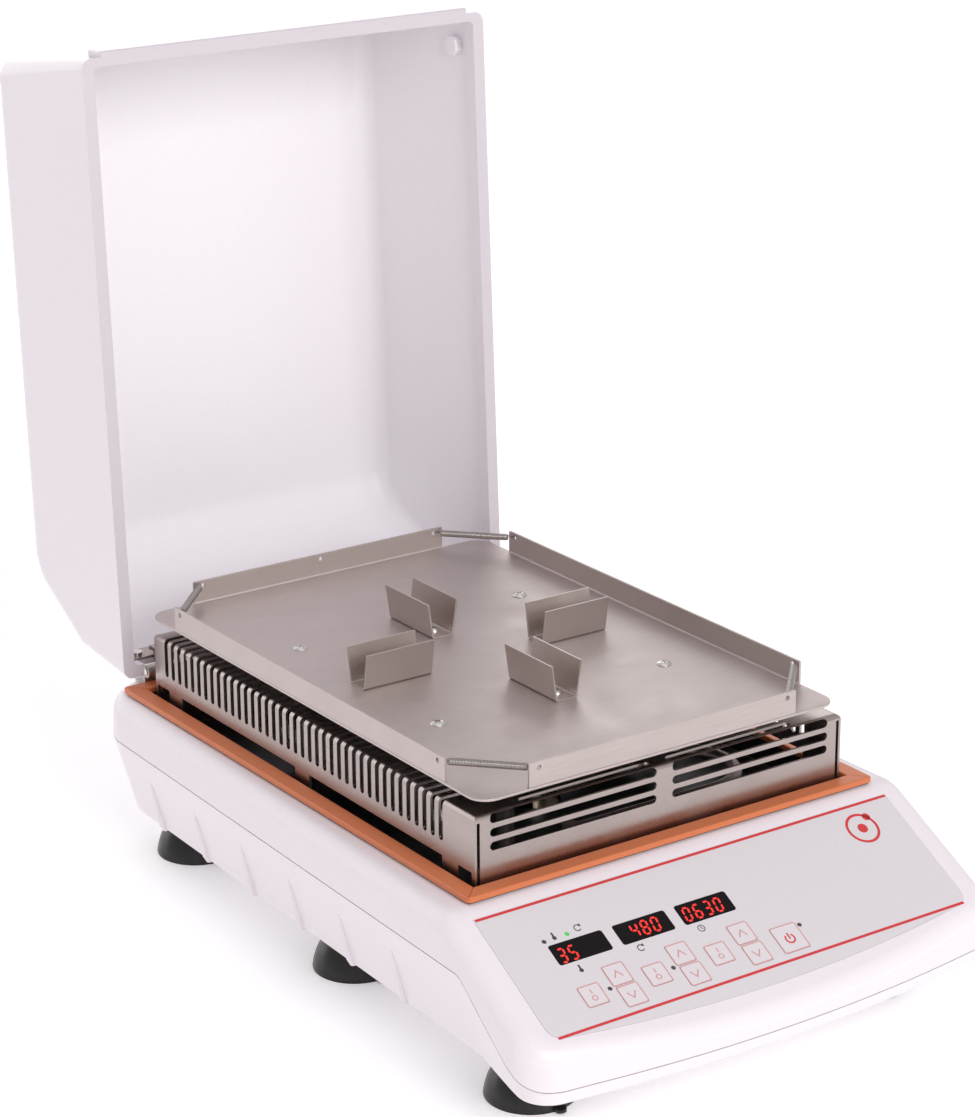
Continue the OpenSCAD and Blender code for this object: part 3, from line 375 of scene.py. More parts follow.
def bands(rings, n, closed=False):
    """Faces between rings of n points; closed joins the last ring to the first."""
    return [(j * n + i, j * n + (i + 1) % n, (j + 1) % rings * n + (i + 1) % n,
             (j + 1) % rings * n + i)
            for j in range(rings if closed else rings - 1) for i in range(n)]


def loft(rings):
    """A solid through rings of points, with flat ends."""
    n = len(rings[0])
    last = (len(rings) - 1) * n
    ends = [tuple(range(n - 1, -1, -1)), tuple(range(last, last + n))]
    return [p for ring in rings for p in ring], bands(len(rings), n) + ends


def tube(path, radius, sides):
    """A round wire along a path, with flat ends."""
    path = [Vector(p) for p in path]
    rings, normal = [], None
    for i, p in enumerate(path):
        ahead = (path[min(i + 1, len(path) - 1)] - path[max(i - 1, 0)]).normalized()
        normal = ahead.orthogonal() if normal is None else normal - ahead * normal.dot(ahead)
        normal.normalize()
        side = ahead.cross(normal)
        rings.append([p + radius * (math.cos(a) * normal + math.sin(a) * side)
                      for a in (2 * math.pi * k / sides for k in range(sides))])
    return loft(rings)


# --- housing ------------------------------------------------------------------------------------
REAR_Y, REAR_R, REAR_X = 168, 32, -86
NOSE_C, NOSE_R = (-109.5, -201.5), 18
NOSE_Y, BOW_R = -228, 700
SIDE_X0, SIDE_X1 = REAR_X - REAR_R, NOSE_C[0] - NOSE_R
SEAM_BENDS = ((163, -24), (196, -48.5), (206, -54), (214, -56.5))
WALL = 3
SEAM_GAP = 0.25
# The hollow of each shell runs past the seam, so that the cut leaves the shell open there.
PAST_SEAM = 4
DECK_EDGE_R, NOSE_EDGE_R = 9, 5
NOSE_LEAN, UPPER_LEAN_MM, LOWER_LEAN = 0.45, 0.6, 0.26
OPENING_X, OPENING_Y = 103, (-139.5, 139)


def side_x(y):
    top = REAR_Y - REAR_R
    return SIDE_X0 + (SIDE_X1 - SIDE_X0) * (y - top) / (NOSE_C[1] - top)


def outline_stations():
    """Left half of the plan outline, rear to front: x, y, outward x, outward y, nose share."""
    bow_y = NOSE_Y + BOW_R
    turn = 360 + math.degrees(math.atan2(NOSE_C[1] - bow_y, NOSE_C[0]))

    def on_arc(c, r, degrees, nose):
        a = math.radians(degrees)
        return (c[0] + r * math.cos(a), c[1] + r * math.sin(a), math.cos(a), math.sin(a), nose)

    side_ys = [*range(100, -141, -20), -144, -147, -150, -154, -158, *range(-161, -199, -3)]
    return ([on_arc((REAR_X, REAR_Y - REAR_R), REAR_R, 90 + 7.5 * k, 0) for k in range(13)]
            + [(side_x(y), y, -1, 0, 0) for y in side_ys]
            + [on_arc(NOSE_C, NOSE_R, 180 + (turn - 180) * k / 14, k / 14) for k in range(15)]
            + [on_arc((0, bow_y), BOW_R, turn + (270 - turn) * k / 9, 1) for k in range(1, 10)])


STATIONS = outline_stations()


def top_z(y):
    """Deck and panel, with the crease between them eased over a few millimetres."""
    past = CREASE_Y - y
    ease = 4.0
    if past <= -ease:
        return DECK_Z
    slope = math.tan(PANEL_SLOPE)
    if past >= ease:
        return DECK_Z - past * slope
    return DECK_Z - slope * (past + ease) ** 2 / (4 * ease)


def straight_seam(y):
    ahead = -y
    if ahead <= SEAM_BENDS[0][0]:
        return SEAM_BENDS[0][1]
    for (a, za), (b, zb) in zip(SEAM_BENDS, SEAM_BENDS[1:]):
        if ahead <= b:
            return za + (zb - za) * (ahead - a) / (b - a)
    return SEAM_BENDS[-1][1]


def seam_z(y):
    """Seam height, with its bends eased by averaging over a short run."""
    reach = 2.5
    return sum(straight_seam(y + reach * k / 4) for k in range(-4, 5)) / 9


def ring_loft(levels):
    """Closed solid through mirrored rings; the ends are strips from left to right."""
    n = len(levels[0])
    k = 2 * n - 1
    verts = [p for level in levels
             for p in [*level, *[(-x, y, z) for x, y, z in reversed(level[:-1])]]]
    faces = bands(len(levels), k)
    top = (len(levels) - 1) * k
    for i in range(n - 1):
        strip = (i, k - 1 - i, k - 2 - i, i + 1) if i < n - 2 else (i, k - 1 - i, i + 1)
        faces.append(strip)
        faces.append(tuple(top + v for v in reversed(strip)))
    return verts, faces


def inset(s, d):
    return s[0] - s[2] * d, s[1] - s[3] * d


def upper_levels(inner):
    """Rings of the upper shell from its seam, up its face and over its rounded top edge."""
    drop = PAST_SEAM if inner else 0
    levels = [[(*inset(s, inner), seam_z(s[1]) + SEAM_GAP - drop) for s in STATIONS]]

    def point(s, degrees):
        r = max(DECK_EDGE_R - (DECK_EDGE_R - NOSE_EDGE_R) * s[4] - inner, 1)
        foot = seam_z(s[1])
        rise = max(top_z(s[1]) - r - inner - foot, 0)
        lean = NOSE_LEAN * s[4] * rise + UPPER_LEAN_MM * (1 - s[4])
        a = math.radians(degrees)
        x, y = inset(s, inner + lean + r * (1 - math.cos(a)))
        return x, y, max(top_z(y) - inner - r * (1 - math.sin(a)), foot + 0.2)

    steps = 10
    return levels + [[point(s, 90 * i / steps) for s in STATIONS] for i in range(steps + 1)]


def lower_levels(inner):
    """Rings of the lower shell from its rounded bottom edge up to the seam."""
    bottom = FLOOR_Z + inner
    rise = PAST_SEAM if inner else 0
    round_r = 2.4

    def point(s, z, extra):
        return (*inset(s, inner + extra + LOWER_LEAN * (seam_z(s[1]) - z)), z)

    levels = [[point(s, bottom + round_r * (1 - math.cos(a)), round_r * (1 - math.sin(a)))
               for s in STATIONS] for a in (math.radians(15 * i) for i in range(7))]
    return levels + [[(*inset(s, inner), seam_z(s[1]) - SEAM_GAP + rise) for s in STATIONS]]


def side_rib(y):
    """A narrow rib that grows out of the leaning side wall towards the bottom edge."""
    top, low = -37.5, FLOOR_Z + 0.4
    levels, around = 9, 8
    rings = []
    for i in range(levels):
        t = i / (levels - 1)
        z = top + (low - top) * t
        wall_x = side_x(y) + LOWER_LEAN * (seam_z(y) - z)
        half = 1.1 + 1.0 * t
        proud = 0.5 + 1.9 * t ** 0.7
        if i in (0, levels - 1):
            half, proud = half * 0.6, proud * 0.5
        section = [(wall_x + 1.0, y + half)]
        section += [(wall_x - proud * math.sin(math.pi * k / around),
                     y + half * math.cos(math.pi * k / around)) for k in range(around + 1)]
        section.append((wall_x + 1.0, y - half))
        rings.append([(px, py, z) for px, py in section])
    return loft(rings)


OVERLAY_TOP, OVERLAY_BOW, OVERLAY_R = 7.0, 79.4, 7
FILM_LOW, FILM_TOP = -0.4, 0.1
WINDOW_W, WINDOW_H, WINDOW_R = 27.5, 10.7, 1.3
WINDOW_X, WINDOW_V = (-88.7, -56, -23.4), 29.3
KEY_COLUMNS = {"temp": -88.5, "speed": -55.7, "time": -22.8}
# Each key's near corner: across from its column, and down the slope.
KEY_CORNERS = {"power": (0, 52.3), "up": (16.1, 46.5), "down": (16.6, 57.7)}
STANDBY_CORNER = (11.3, 54.2)
KEY_SIZE, STANDBY_SIZE, KEY_R = 10.5, 13.7, 0.9
LAMP_SPOTS = ((-88.6, 26.8), (-74.4, 57.1), (-41.6, 57.1), (26.8, 56.4))
GREEN_SPOT = (-76.8, 26.5)


def key_spots():
    """Name, middle across, middle down the slope and size of each key."""
    half = KEY_SIZE / 2
    spots = [(f"key_{column}_{use}", x + across + half, v + half, KEY_SIZE)
             for column, x in KEY_COLUMNS.items() for use, (across, v) in KEY_CORNERS.items()]
    half = STANDBY_SIZE / 2
    x, v = STANDBY_CORNER
    return spots + [("key_standby", x + half, v + half, STANDBY_SIZE)]


def overlay_outline(grow=0.0):
    """Outline of the panel's film, as points across and up the slope."""
    half_top, half_low, side_v = 112 + grow, 112.4 + grow, 64.5
    r = OVERLAY_R + grow
    rise = 7.8
    half_bow = half_low - r / 2
    bow_r = (half_bow ** 2 + rise ** 2) / (2 * rise)
    corner_x = half_low - r
    bow = [(corner_x * (1 - k / 6), -(OVERLAY_BOW + grow) + bow_r
            - math.sqrt(bow_r ** 2 - (corner_x * (1 - k / 6)) ** 2)) for k in range(13)]
    corner_y = bow[0][1] + r
    left = arc(-corner_x, corner_y, r, 180, 266, 10)
    right = arc(corner_x, corner_y, r, 274, 360, 10)
    outline = [(-half_top, -OVERLAY_TOP + grow), (-half_low, -side_v + 4), *left]
    outline += [(-x, y) for x, y in bow[1:-1]]
    return outline + [*right, (half_low, -side_v + 4), (half_top, -OVERLAY_TOP + grow)]


def key_wells(depth, clear):
    return joined(*[prism(round_rect(size + 2 * clear, size + 2 * clear, KEY_R + clear, x, -v),
                          -depth, 1) for _, x, v, size in key_spots()])


def window_wells(depth):
    return joined(*[prism(round_rect(WINDOW_W, WINDOW_H, WINDOW_R, x + WINDOW_W / 2,
                                     -WINDOW_V - WINDOW_H / 2), -depth, 1) for x in WINDOW_X])


def lamp_wells(depth):
    return joined(*[moved(lathe([(1.1, -depth), (1.1, 1)], 16), x, -v)
                    for x, v in [*LAMP_SPOTS, GREEN_SPOT]])


upper = evaluated(new_mesh(ring_loft(upper_levels(0))), [
    cut(ring_loft(upper_levels(WALL))),
    cut(block(-OPENING_X, OPENING_X, *OPENING_Y, DECK_Z - 20, 20)),
    cut(placed(prism(overlay_outline(0.1), FILM_LOW, 6), PANEL)),
    cut(placed(key_wells(2.1, 0.15), PANEL)),
    cut(placed(window_wells(8), PANEL)),
    cut(placed(lamp_wells(8), PANEL))])
piece("upper_housing_shell", upper, BASE, "base", white_shell, ["upper_housing"])

INLET_X, INLET_Z, INLET_FACE = -62, -42, REAR_Y - 0.8
FOOT_SPOTS = [(s * x, y) for s in (-1, 1) for x, y in ((80, 133), (85.5, -20), (91, -164))]
RIB_Y0, RIB_PITCH = 113.5, 43.75
left_ribs = joined(*[side_rib(RIB_Y0 - RIB_PITCH * i) for i in range(6)])
VENT_X0, VENT_PITCH, VENT_Z, VENT_W, VENT_H = 30, 5.5, -43, 2.4, 18
vents = joined(*[placed(prism(round_rect(VENT_W, VENT_H, VENT_W / 2), -12, 12),
                        facing_front(VENT_X0 + VENT_PITCH * i, REAR_Y - 8, VENT_Z))
                 for i in range(9)])
inlet_boss = placed(prism(round_rect(44, 28, 3), 0, 10),
                    facing_front(INLET_X, INLET_FACE, INLET_Z))
foot_holes = joined(*[moved(lathe([(2.7, FLOOR_Z - 1), (2.7, FLOOR_Z + 8)], 20), x, y)
                      for x, y in FOOT_SPOTS])
lower = evaluated(new_mesh(ring_loft(lower_levels(0))), [
    cut(ring_loft(lower_levels(WALL))), fuse(left_ribs), fuse(mirrored(left_ribs)),
    fuse(inlet_boss),
    cut(block(INLET_X - 13.7, INLET_X + 13.7, REAR_Y - 20, REAR_Y + 10, INLET_Z - 10,
              INLET_Z + 10)),
    cut(vents), cut(foot_holes)])
piece("lower_housing_shell", lower, BASE, "base", white_shell,
      ["lower_housing"], sharp=35)
POST_R, POST_H = 4, 3
POST_SPOTS = [(sx * x, y) for x, y in ((98, 120), (104, -110), (96, -196)) for sx in (-1, 1)]
screw_posts = joined(*[moved(lathe([(POST_R, FLOOR_Z + WALL), (POST_R, FLOOR_Z + WALL + POST_H)],
                                   24), x, y) for x, y in POST_SPOTS])
piece("chassis_posts", screw_posts, BASE, "base", white_inside)

# --- feet ---------------------------------------------------------------------------------------
FOOT_DOME = [(16.5, 0), (19.9, 0), (20, 0.6), (19.9, 1.3), (19.4, 4), (18.2, 8), (16.3, 12),
             (13.7, 16), (11.4, 18.4), (10.3, 20), (10, 22), (10, 24), (2.6, 24), (2.6, 10),
             (2.2, 5.2), (9, 3.4), (14, 1.6)]


def foot():
    """A hollow suction cup: its closed section turned about the Z axis."""
    n = len(FOOT_DOME)
    steps = 56
    verts = [(r * math.cos(2 * math.pi * k / steps), r * math.sin(2 * math.pi * k / steps), z)
             for k in range(steps) for r, z in FOOT_DOME]
    faces = [(k * n + i, (k + 1) % steps * n + i, (k + 1) % steps * n + (i + 1) % n,
              k * n + (i + 1) % n) for k in range(steps) for i in range(n)]
    return verts, faces


FOOT_H = 24
release_tab = moved(prism(round_rect(5, 7, 2.2), 0.8, 2.2), 0, -20.5)
feet = joined(*[moved(foot(), x, y, FLOOR_Z - FOOT_H) for x, y in FOOT_SPOTS])
tabs = joined(*[moved(release_tab, x, y, FLOOR_Z - FOOT_H) for x, y in FOOT_SPOTS])
piece("suction_cups", feet, BASE, "base", rubber, ["suction_feet"],
      [fuse(tabs)], sharp=50)

# --- gasket -------------------------------------------------------------------------------------
GASKET_X, GASKET_Y, GASKET_H = 110, 146.9, 2.5
GASKET_SECTION = ((0, 0), (0, 1.9), (0.25, 2.35), (0.8, 2.5), (7.5, 2.5), (8.05, 2.35),
                  (8.3, 1.9), (8.3, 0))


def gasket_ring():
    """The gasket's section carried round its outline, inset step by step."""
    verts = []
    for d, z in GASKET_SECTION:
        loop = round_rect(2 * (GASKET_X - d), 2 * (GASKET_Y - d), max(2 - d, 0.2), steps=4)
        verts += [(x, y, z - GASKET_H) for x, y in loop]
    rings = len(GASKET_SECTION)
    return verts, bands(rings, len(verts) // rings, closed=True)


def mitre(sx, sy):
    """Thin blade that cuts the fine diagonal joint at one corner."""
    line = turned(block(-14, 14, -0.15, 0.15, -0.5, 1), 45 * sx * sy)
    return moved(line, sx * (GASKET_X - 4), sy * (GASKET_Y - 4))


mitres = joined(*[mitre(sx, sy) for sx in (-1, 1) for sy in (-1, 1)])
piece("gasket_frame", gasket_ring(), BASE, "base", silicone,
      ["chamber_gasket"], [cut(mitres)], sharp=50)

# --- panel --------------------------------------------------------------------------------------
film_sheet = evaluated(new_mesh(prism(overlay_outline(), FILM_LOW, FILM_TOP)), [
    cut(key_wells(3, 0.15)), cut(window_wells(3)), cut(lamp_wells(3))])
piece("panel_film", film_sheet, PANEL, "base", film, ["panel_overlay"])
windows = joined(*[prism(round_rect(WINDOW_W - 0.16, WINDOW_H - 0.16, WINDOW_R,
                                    x + WINDOW_W / 2, -WINDOW_V - WINDOW_H / 2), -1.8, 0.08)
                   for x in WINDOW_X])
piece("window_panes", windows, PANEL, "base", window_tint,
      ["display_windows"], [bevel(0.15)])
INK = 0.05


def print_on(name, shape, look, body="base"):
    return piece(name, shape, PANEL, body, look)


def ribbon(points, width, z, closed=False):
    """A flat strip of ink along points on the panel."""
    pts = [Vector(p) for p in points]
    n = len(pts)
    edges = []
    for i, p in enumerate(pts):
        before = pts[(i - 1) % n] if closed or i else p
        after = pts[(i + 1) % n] if closed or i < n - 1 else p
        first, second = p - before, after - p
        first = (first if first.length else second).normalized()
        second = (second if second.length else first).normalized()
        across = Vector((-(first + second).y, (first + second).x)).normalized()
        reach = width / 2 / max(across.dot(Vector((-first.y, first.x))), 0.35)
        edges.append((p + across * reach, p - across * reach))
    verts = [(e.x, e.y, h) for h in (z, z + INK) for pair in edges for e in pair]
    faces = []
    for i in range(n if closed else n - 1):
        a, b, top = 2 * i, 2 * ((i + 1) % n), 2 * n
        faces += [(a + top, a + 1 + top, b + 1 + top, b + top), (a, b, b + 1, a + 1),
                  (a, a + top, b + top, b), (a + 1, b + 1, b + 1 + top, a + 1 + top)]
    if not closed:
        last, top = 2 * (n - 1), 2 * n
        faces += [(0, 1, 1 + top, top), (last, last + top, last + 1 + top, last + 1)]
    return verts, faces


def circle(cx, cy, r, steps=28):
    return arc(cx, cy, r, 0, 360, steps)[:-1]


red_lines = joined(*[ribbon([(-x, y), (x, y)], 1.3, FILM_TOP)
                     for x, y in ((111.5, -7.8), (109.5, -71.4))])
print_on("red_lines", red_lines, red_ink)

# A plain orbit sign stands at the panel's upper right corner.
ORBIT_X, ORBIT_Y = 89, -20.5
orbit_sign = joined(ribbon(circle(ORBIT_X, ORBIT_Y, 7.6), 1.3, FILM_TOP, True),
                    prism(circle(ORBIT_X, ORBIT_Y, 2.5), FILM_TOP, FILM_TOP + INK),
                    prism(circle(ORBIT_X + 5.6, ORBIT_Y + 5.1, 2.0), FILM_TOP, FILM_TOP + INK))
print_on("orbit_sign", orbit_sign, red_ink)


def thermometer(x, y):
    return joined(ribbon([(x, y + 0.4), (x, y + 2.6)], 0.9, FILM_TOP),
                  prism(circle(x, y - 0.3, 1.0, steps=16), FILM_TOP, FILM_TOP + INK))


def speed_sign(x, y):
    return joined(ribbon(arc(x, y, 1.5, 40, 320, 18), 0.45, FILM_TOP),
                  prism([(x + 1.95, y + 0.2), (x + 0.5, y + 1.0), (x + 1.9, y + 2.0)], FILM_TOP,
                        FILM_TOP + INK))


def clock_sign(x, y):
    return joined(ribbon(circle(x, y, 1.6, steps=20), 0.4, FILM_TOP, True),
                  ribbon([(x, y + 1.1), (x, y), (x + 0.8, y - 0.4)], 0.35, FILM_TOP))


signs = joined(thermometer(-81, -44.6), speed_sign(-49.5, -43.4), clock_sign(-17.5, -43.4),
               thermometer(-83.2, -26.3), speed_sign(-70.6, -25.2))
print_on("plain_signs", signs, dark_ink)

# Seven-segment digits, slanted, seen through the panes.
SEGMENTS = {"a": ((0, 2), (1, 2)), "b": ((1, 2), (1, 1)), "c": ((1, 1), (1, 0)),
            "d": ((0, 0), (1, 0)), "e": ((0, 1), (0, 0)), "f": ((0, 2), (0, 1)),
            "g": ((0, 1), (1, 1))}
DIGITS = {"0": "abcdef", "3": "abcdg", "4": "bcfg", "5": "acdfg", "6": "acdefg",
          "8": "abcdefg"}
DIGIT_W, DIGIT_H, DIGIT_SLANT, SEGMENT_W = 2.9, 3.35, 0.14, 0.95
PANE_TOP = 0.08


def segment(x, y, ends):
    """One slanted bar of a digit, with pointed ends."""
    (ax, ay), (bx, by) = [(x + ex * DIGIT_W + ey * DIGIT_H * DIGIT_SLANT, y + ey * DIGIT_H)
                          for ex, ey in ends]
    a, b = Vector((ax, ay)), Vector((bx, by))
    along = (b - a).normalized()
    side = Vector((-along.y, along.x)) * SEGMENT_W / 2
    a, b = a + along * 0.25, b - along * 0.25
    point = along * SEGMENT_W / 2
    outline = [a, a + point - side, b - point - side, b, b - point + side, a + point + side]
    return prism([tuple(p) for p in outline], PANE_TOP, PANE_TOP + INK)


def digits(text, x, pitch, v):
    return joined(*[segment(x + i * pitch, -v, SEGMENTS[s])
                    for i, d in enumerate(text) for s in DIGITS[d]])


DIGIT_V = WINDOW_V + WINDOW_H - 1.0
readouts = joined(digits("35", WINDOW_X[0] + 2.0, 5.4, DIGIT_V),
                  digits("480", WINDOW_X[1] + 7.2, 5.4, DIGIT_V - 0.9),
                  digits("0630", WINDOW_X[2] + 2.2, 5.5, DIGIT_V - 0.6))
print_on("readout_digits", readouts, digit_red)

LAMP_DOME = [(0.98, -10.4), (0.98, -0.05), (0.8, 0.05), (0.45, 0.1), (0.05, 0.1)]
dark_lamps = joined(*[moved(lathe(LAMP_DOME, 18), x, -v) for x, v in LAMP_SPOTS])
piece("lamps_unlit", dark_lamps, PANEL, "base", dark_ink, ["indicator_leds"])
piece("lamp_lit", moved(lathe(LAMP_DOME, 18), GREEN_SPOT[0], -GREEN_SPOT[1]), PANEL, "base",
      lamp_green)

KEY_TOP = 0.2


def power_sign(x, y, r, width, z):
    return joined(ribbon(arc(x, y, r, 125, 415, 24), width, z),
                  ribbon([(x, y - 0.1 * r), (x, y + 1.35 * r)], width, z))


def on_off_sign(x, y, z):
    """A bar over a ring: the plain sign of an on and off key."""
    return joined(ribbon([(x, y + 0.7), (x, y + 2.9)], 0.5, z),
                  ribbon(circle(x, y - 1.5, 1.15, steps=18), 0.45, z, True))


for name, x, v, size in key_spots():
    y = -v
    cap = prism(round_rect(size, size, KEY_R, x, y, 4), -1.4, KEY_TOP)
    piece(f"{name}_cap", cap, PANEL, f"{name}_cap", key_film, [name], [bevel(0.12)])
    border = ribbon(round_rect(size - 0.3, size - 0.3, KEY_R, x, y, 3), 0.45, KEY_TOP, True)
    if name.endswith("up"):
        sign = ribbon([(x - 2.1, y - 1.5), (x, y + 1.7), (x + 2.1, y - 1.5)], 0.55, KEY_TOP)
    elif name.endswith("down"):
        sign = ribbon([(x - 2.1, y + 1.5), (x, y - 1.7), (x + 2.1, y + 1.5)], 0.55, KEY_TOP)
    elif name == "key_standby":
        sign = power_sign(x, y - 0.3, 2.2, 0.75, KEY_TOP)
    else:
        sign = on_off_sign(x, y, KEY_TOP)
    look = red_ink if name == "key_standby" else pale_red_ink
    print_on(f"{name}_border", border, pale_red_ink, f"{name}_cap")
    print_on(f"{name}_sign", sign, look, f"{name}_cap")

# --- lid ----------------------------------------------------------------------------------------
LID_H, LID_GAP, LID_WALL = 102, 0.3, 2.5
LID_X = (110.5, 106.5)
LID_FRONT, LID_REAR = -148.9, 148.4
FRONT_LEAN = math.tan(math.radians(5.5))
SHOULDER_Z, SHOULDER_LEAN = 48, 4.5
REAR_ROLL_R, REAR_ROLL_IN, TOP_R, EDGE_R = 26, 21.3, 12, 5
FRONT_EDGE_R, REAR_EDGE_R, SHOULDER_EDGE_R = 8, 9, 6


def tangent(p, c, r, left):
    """Angle at which a line from point p touches the circle, on its left or right side."""
    away = math.atan2(p[1] - c[1], p[0] - c[0])
    swing = math.acos(r / math.dist(p, c))
    return away + (swing if left else -swing)


def lid_profile():
    """Side outline of the lid, front to rear: y, z, outward y, outward z and edge radius."""
    top = LID_GAP + LID_H
    front_c = (LID_FRONT + LID_H * FRONT_LEAN + TOP_R, top - TOP_R)
    rear_c = (LID_REAR - REAR_ROLL_IN - REAR_ROLL_R, top - REAR_ROLL_R)
    shoulder = (LID_REAR - SHOULDER_LEAN, LID_GAP + SHOULDER_Z)
    start = tangent((LID_FRONT, LID_GAP), front_c, TOP_R, False) % (2 * math.pi)
    end = tangent(shoulder, rear_c, REAR_ROLL_R, True)
    profile = []

    def straight(a, b, n, ra, rb):
        d = (Vector(b) - Vector(a)).normalized()
        for i in range(n):
            t = i / n
            profile.append((a[0] + (b[0] - a[0]) * t, a[1] + (b[1] - a[1]) * t, -d.y, d.x,
                            ra + (rb - ra) * t))

    def rolled(c, r, a0, a1, n, ra, rb):
        for i in range(n + 1):
            a = a0 + (a1 - a0) * i / n
            profile.append((c[0] + r * math.cos(a), c[1] + r * math.sin(a), math.cos(a),
                            math.sin(a), ra + (rb - ra) * i / n))

    front_top = (front_c[0] + TOP_R * math.cos(start), front_c[1] + TOP_R * math.sin(start))
    rear_top = (rear_c[0] + REAR_ROLL_R * math.cos(end), rear_c[1] + REAR_ROLL_R * math.sin(end))
    straight((LID_FRONT, LID_GAP), front_top, 6, EDGE_R, FRONT_EDGE_R)
    rolled(front_c, TOP_R, start, math.pi / 2, 10, FRONT_EDGE_R, TOP_R)
    rolled(rear_c, REAR_ROLL_R, math.pi / 2, end, 16, TOP_R, REAR_EDGE_R)
    straight(rear_top, shoulder, 4, REAR_EDGE_R, SHOULDER_EDGE_R)
    straight(shoulder, (LID_REAR, LID_GAP), 5, SHOULDER_EDGE_R, EDGE_R)
    profile.append((LID_REAR, LID_GAP, 1, 0, EDGE_R))
    profile[0] = (LID_FRONT, LID_GAP, -1, 0, EDGE_R)
    return profile


def lid_solid(inner):
    """The lid's side outline carried across its width, with rounded left and right edges."""
    profile = lid_profile()
    # The hollow runs past the rim, so that the cut leaves the lid open.
    if inner:
        low = [(LID_FRONT, -3, -1, 0, EDGE_R), (LID_REAR, -3, 1, 0, EDGE_R)]
        profile = [low[0], *profile, low[1]]
    steps = 7
    turns = [math.radians(90 * i / steps) for i in range(steps + 1)]

    def ring(side, a):
        points = []
        for y, z, ny, nz, r in profile:
            r = max(r - inner, 1.2)
            half = LID_X[0] + (LID_X[1] - LID_X[0]) * z / LID_H - inner
            d = inner + r * (1 - math.cos(a))
            points.append((side * (half - r * (1 - math.sin(a))), y - ny * d, z - nz * d))
        return points

    return loft([ring(-1, a) for a in reversed(turns)] + [ring(1, a) for a in turns])


RIM_H = 7


def rim_band():
    """The thicker band round the lid's open edge, before its middle is cut out."""
    outer = round_rect(2 * LID_X[0] - 1.2, LID_REAR - LID_FRONT - 2.6, EDGE_R,
                       0, (LID_REAR + LID_FRONT) / 2)
    return prism(outer, LID_GAP, LID_GAP + RIM_H)


rim_hole = prism(round_rect(2 * (LID_X[0] - 6), LID_REAR - LID_FRONT - 10.2, 2.5, 0,
                            (LID_REAR + LID_FRONT - 1.8) / 2), -5, LID_GAP + RIM_H + 1)
LIP_X, LIP_OUT, LIP_H = 101, 2.7, 12
BOSS_AT = (108.4, -131, 19)
HINGE_X, NOTCH_HALF = 82, 17.5
lip = as_shape(evaluated(new_mesh(block(-LIP_X, LIP_X, LID_FRONT - LIP_OUT, LID_FRONT + 1.5,
                                        LID_GAP, LID_GAP + LIP_H)), [bevel(1.1, 3)]))
boss = placed(lathe([(5, 0), (5, 4.6), (4.4, 5.2), (0.2, 5.2)], 36),
              Matrix.Translation(BOSS_AT) @ Matrix.Rotation(math.radians(-90), 4, "Y"))
notches = joined(*[block(s * HINGE_X - NOTCH_HALF, s * HINGE_X + NOTCH_HALF, LID_REAR - 13,
                         LID_REAR + 7, -1, 12) for s in (-1, 1)])
lid_mesh = evaluated(new_mesh(lid_solid(0)), [
    cut(lid_solid(LID_WALL)), fuse(rim_band()), cut(rim_hole), fuse(lip), fuse(boss),
    cut(notches)])
lid_object = piece("lid_moulding", lid_mesh, LID, "lid", white_lid, ["lid_shell"],
                   sharp=35)
# The rim's flat face gets a darker copy of the white as painted shade, and the faces that look
# towards the lid's middle get a lighter copy as painted light.
PAINTED_LIGHT_INSIDE, PAINTED_SHADE_RIM = 1, 2
lid_object.data.materials.append(white_painted_light_inside)
lid_object.data.materials.append(white_painted_shade_rim)
LID_MIDDLE = Vector((0, 0, 45))
to_lid = (TO_PART @ LID).inverted()
for face in lid_object.data.polygons:
    centre = to_lid @ face.center
    facing = (to_lid.to_3x3() @ face.normal).normalized()
    if centre.z < LID_GAP + 0.5 and facing.z < -0.5:
        face.material_index = PAINTED_SHADE_RIM
    elif centre.z > RIM_H + 0.5 and facing.dot(LID_MIDDLE - centre) > 0:
        face.material_index = PAINTED_LIGHT_INSIDE

# --- tray ---------------------------------------------------------------------------------------
TRAY_X, TRAY_Y = (tray_high.x - tray_low.x) / 2, (tray_high.y - tray_low.y) / 2
FLANGE_H = tray_high.z - tray_low.z - TRAY_T
# Half lengths of the flanges, and the place of the hook hole near each end.
SIDE_FLANGE, END_FLANGE = 113.3, 72
HOOK_IN, HOOK_Z = 5, FLANGE_H - 2.6
SCREW_SPOTS = [(sx * 62.4, sy * 57.2) for sx in (-1, 1) for sy in (-1, 1)]
CLIP_ARM, CLIP_SCREW = 49.2, 10
CLIP_L, CLIP_TOP, CLIP_LOW, CLIP_H, CLIP_T = 36.6, 16, 10.8, 17.5, 0.8
# Turns a section drawn across and up, and extruded, so that it runs along X.
ALONG_X = Matrix(((0, 0, 1, 0), (1, 0, 0, 0), (0, 1, 0, 0), (0, 0, 0, 1)))


def bent_flange(half):
    """An upstanding flange with its bend, its outer face on the line y = 0, rising to +Z."""
    t, inside = TRAY_T, 0.9
    outside = inside + t
    bend = arc(outside, outside - t, outside, 180, 270, 6)
    bend_in = arc(outside, outside - t, inside, 270, 180, 6)
    section = [(0, FLANGE_H), *bend, (outside + 1, -t), (outside + 1, 0), *bend_in, (t, FLANGE_H)]
    return placed(prism(section, -half, half), ALONG_X)


def hook_holes(half, extra=()):
    """Pins that cut a flange's holes: one near each end, and any extra ones."""
    spots = [(s * (half - HOOK_IN), HOOK_Z) for s in (-1, 1)] + list(extra)
    return joined(*[placed(lathe([(1.2, -3), (1.2, 3)], 20), facing_front(x, 0, z))
                    for x, z in spots])


def flange(half, angle, reach, extra=()):
    """One of the tray's flanges, with its holes, at its edge of the tray."""
    mesh = evaluated(new_mesh(bent_flange(half)),
                     [bevel(0.22, 2, 60), cut(hook_holes(half, extra))])
    return turned(moved(as_shape(mesh), 0, -reach, 0), angle)


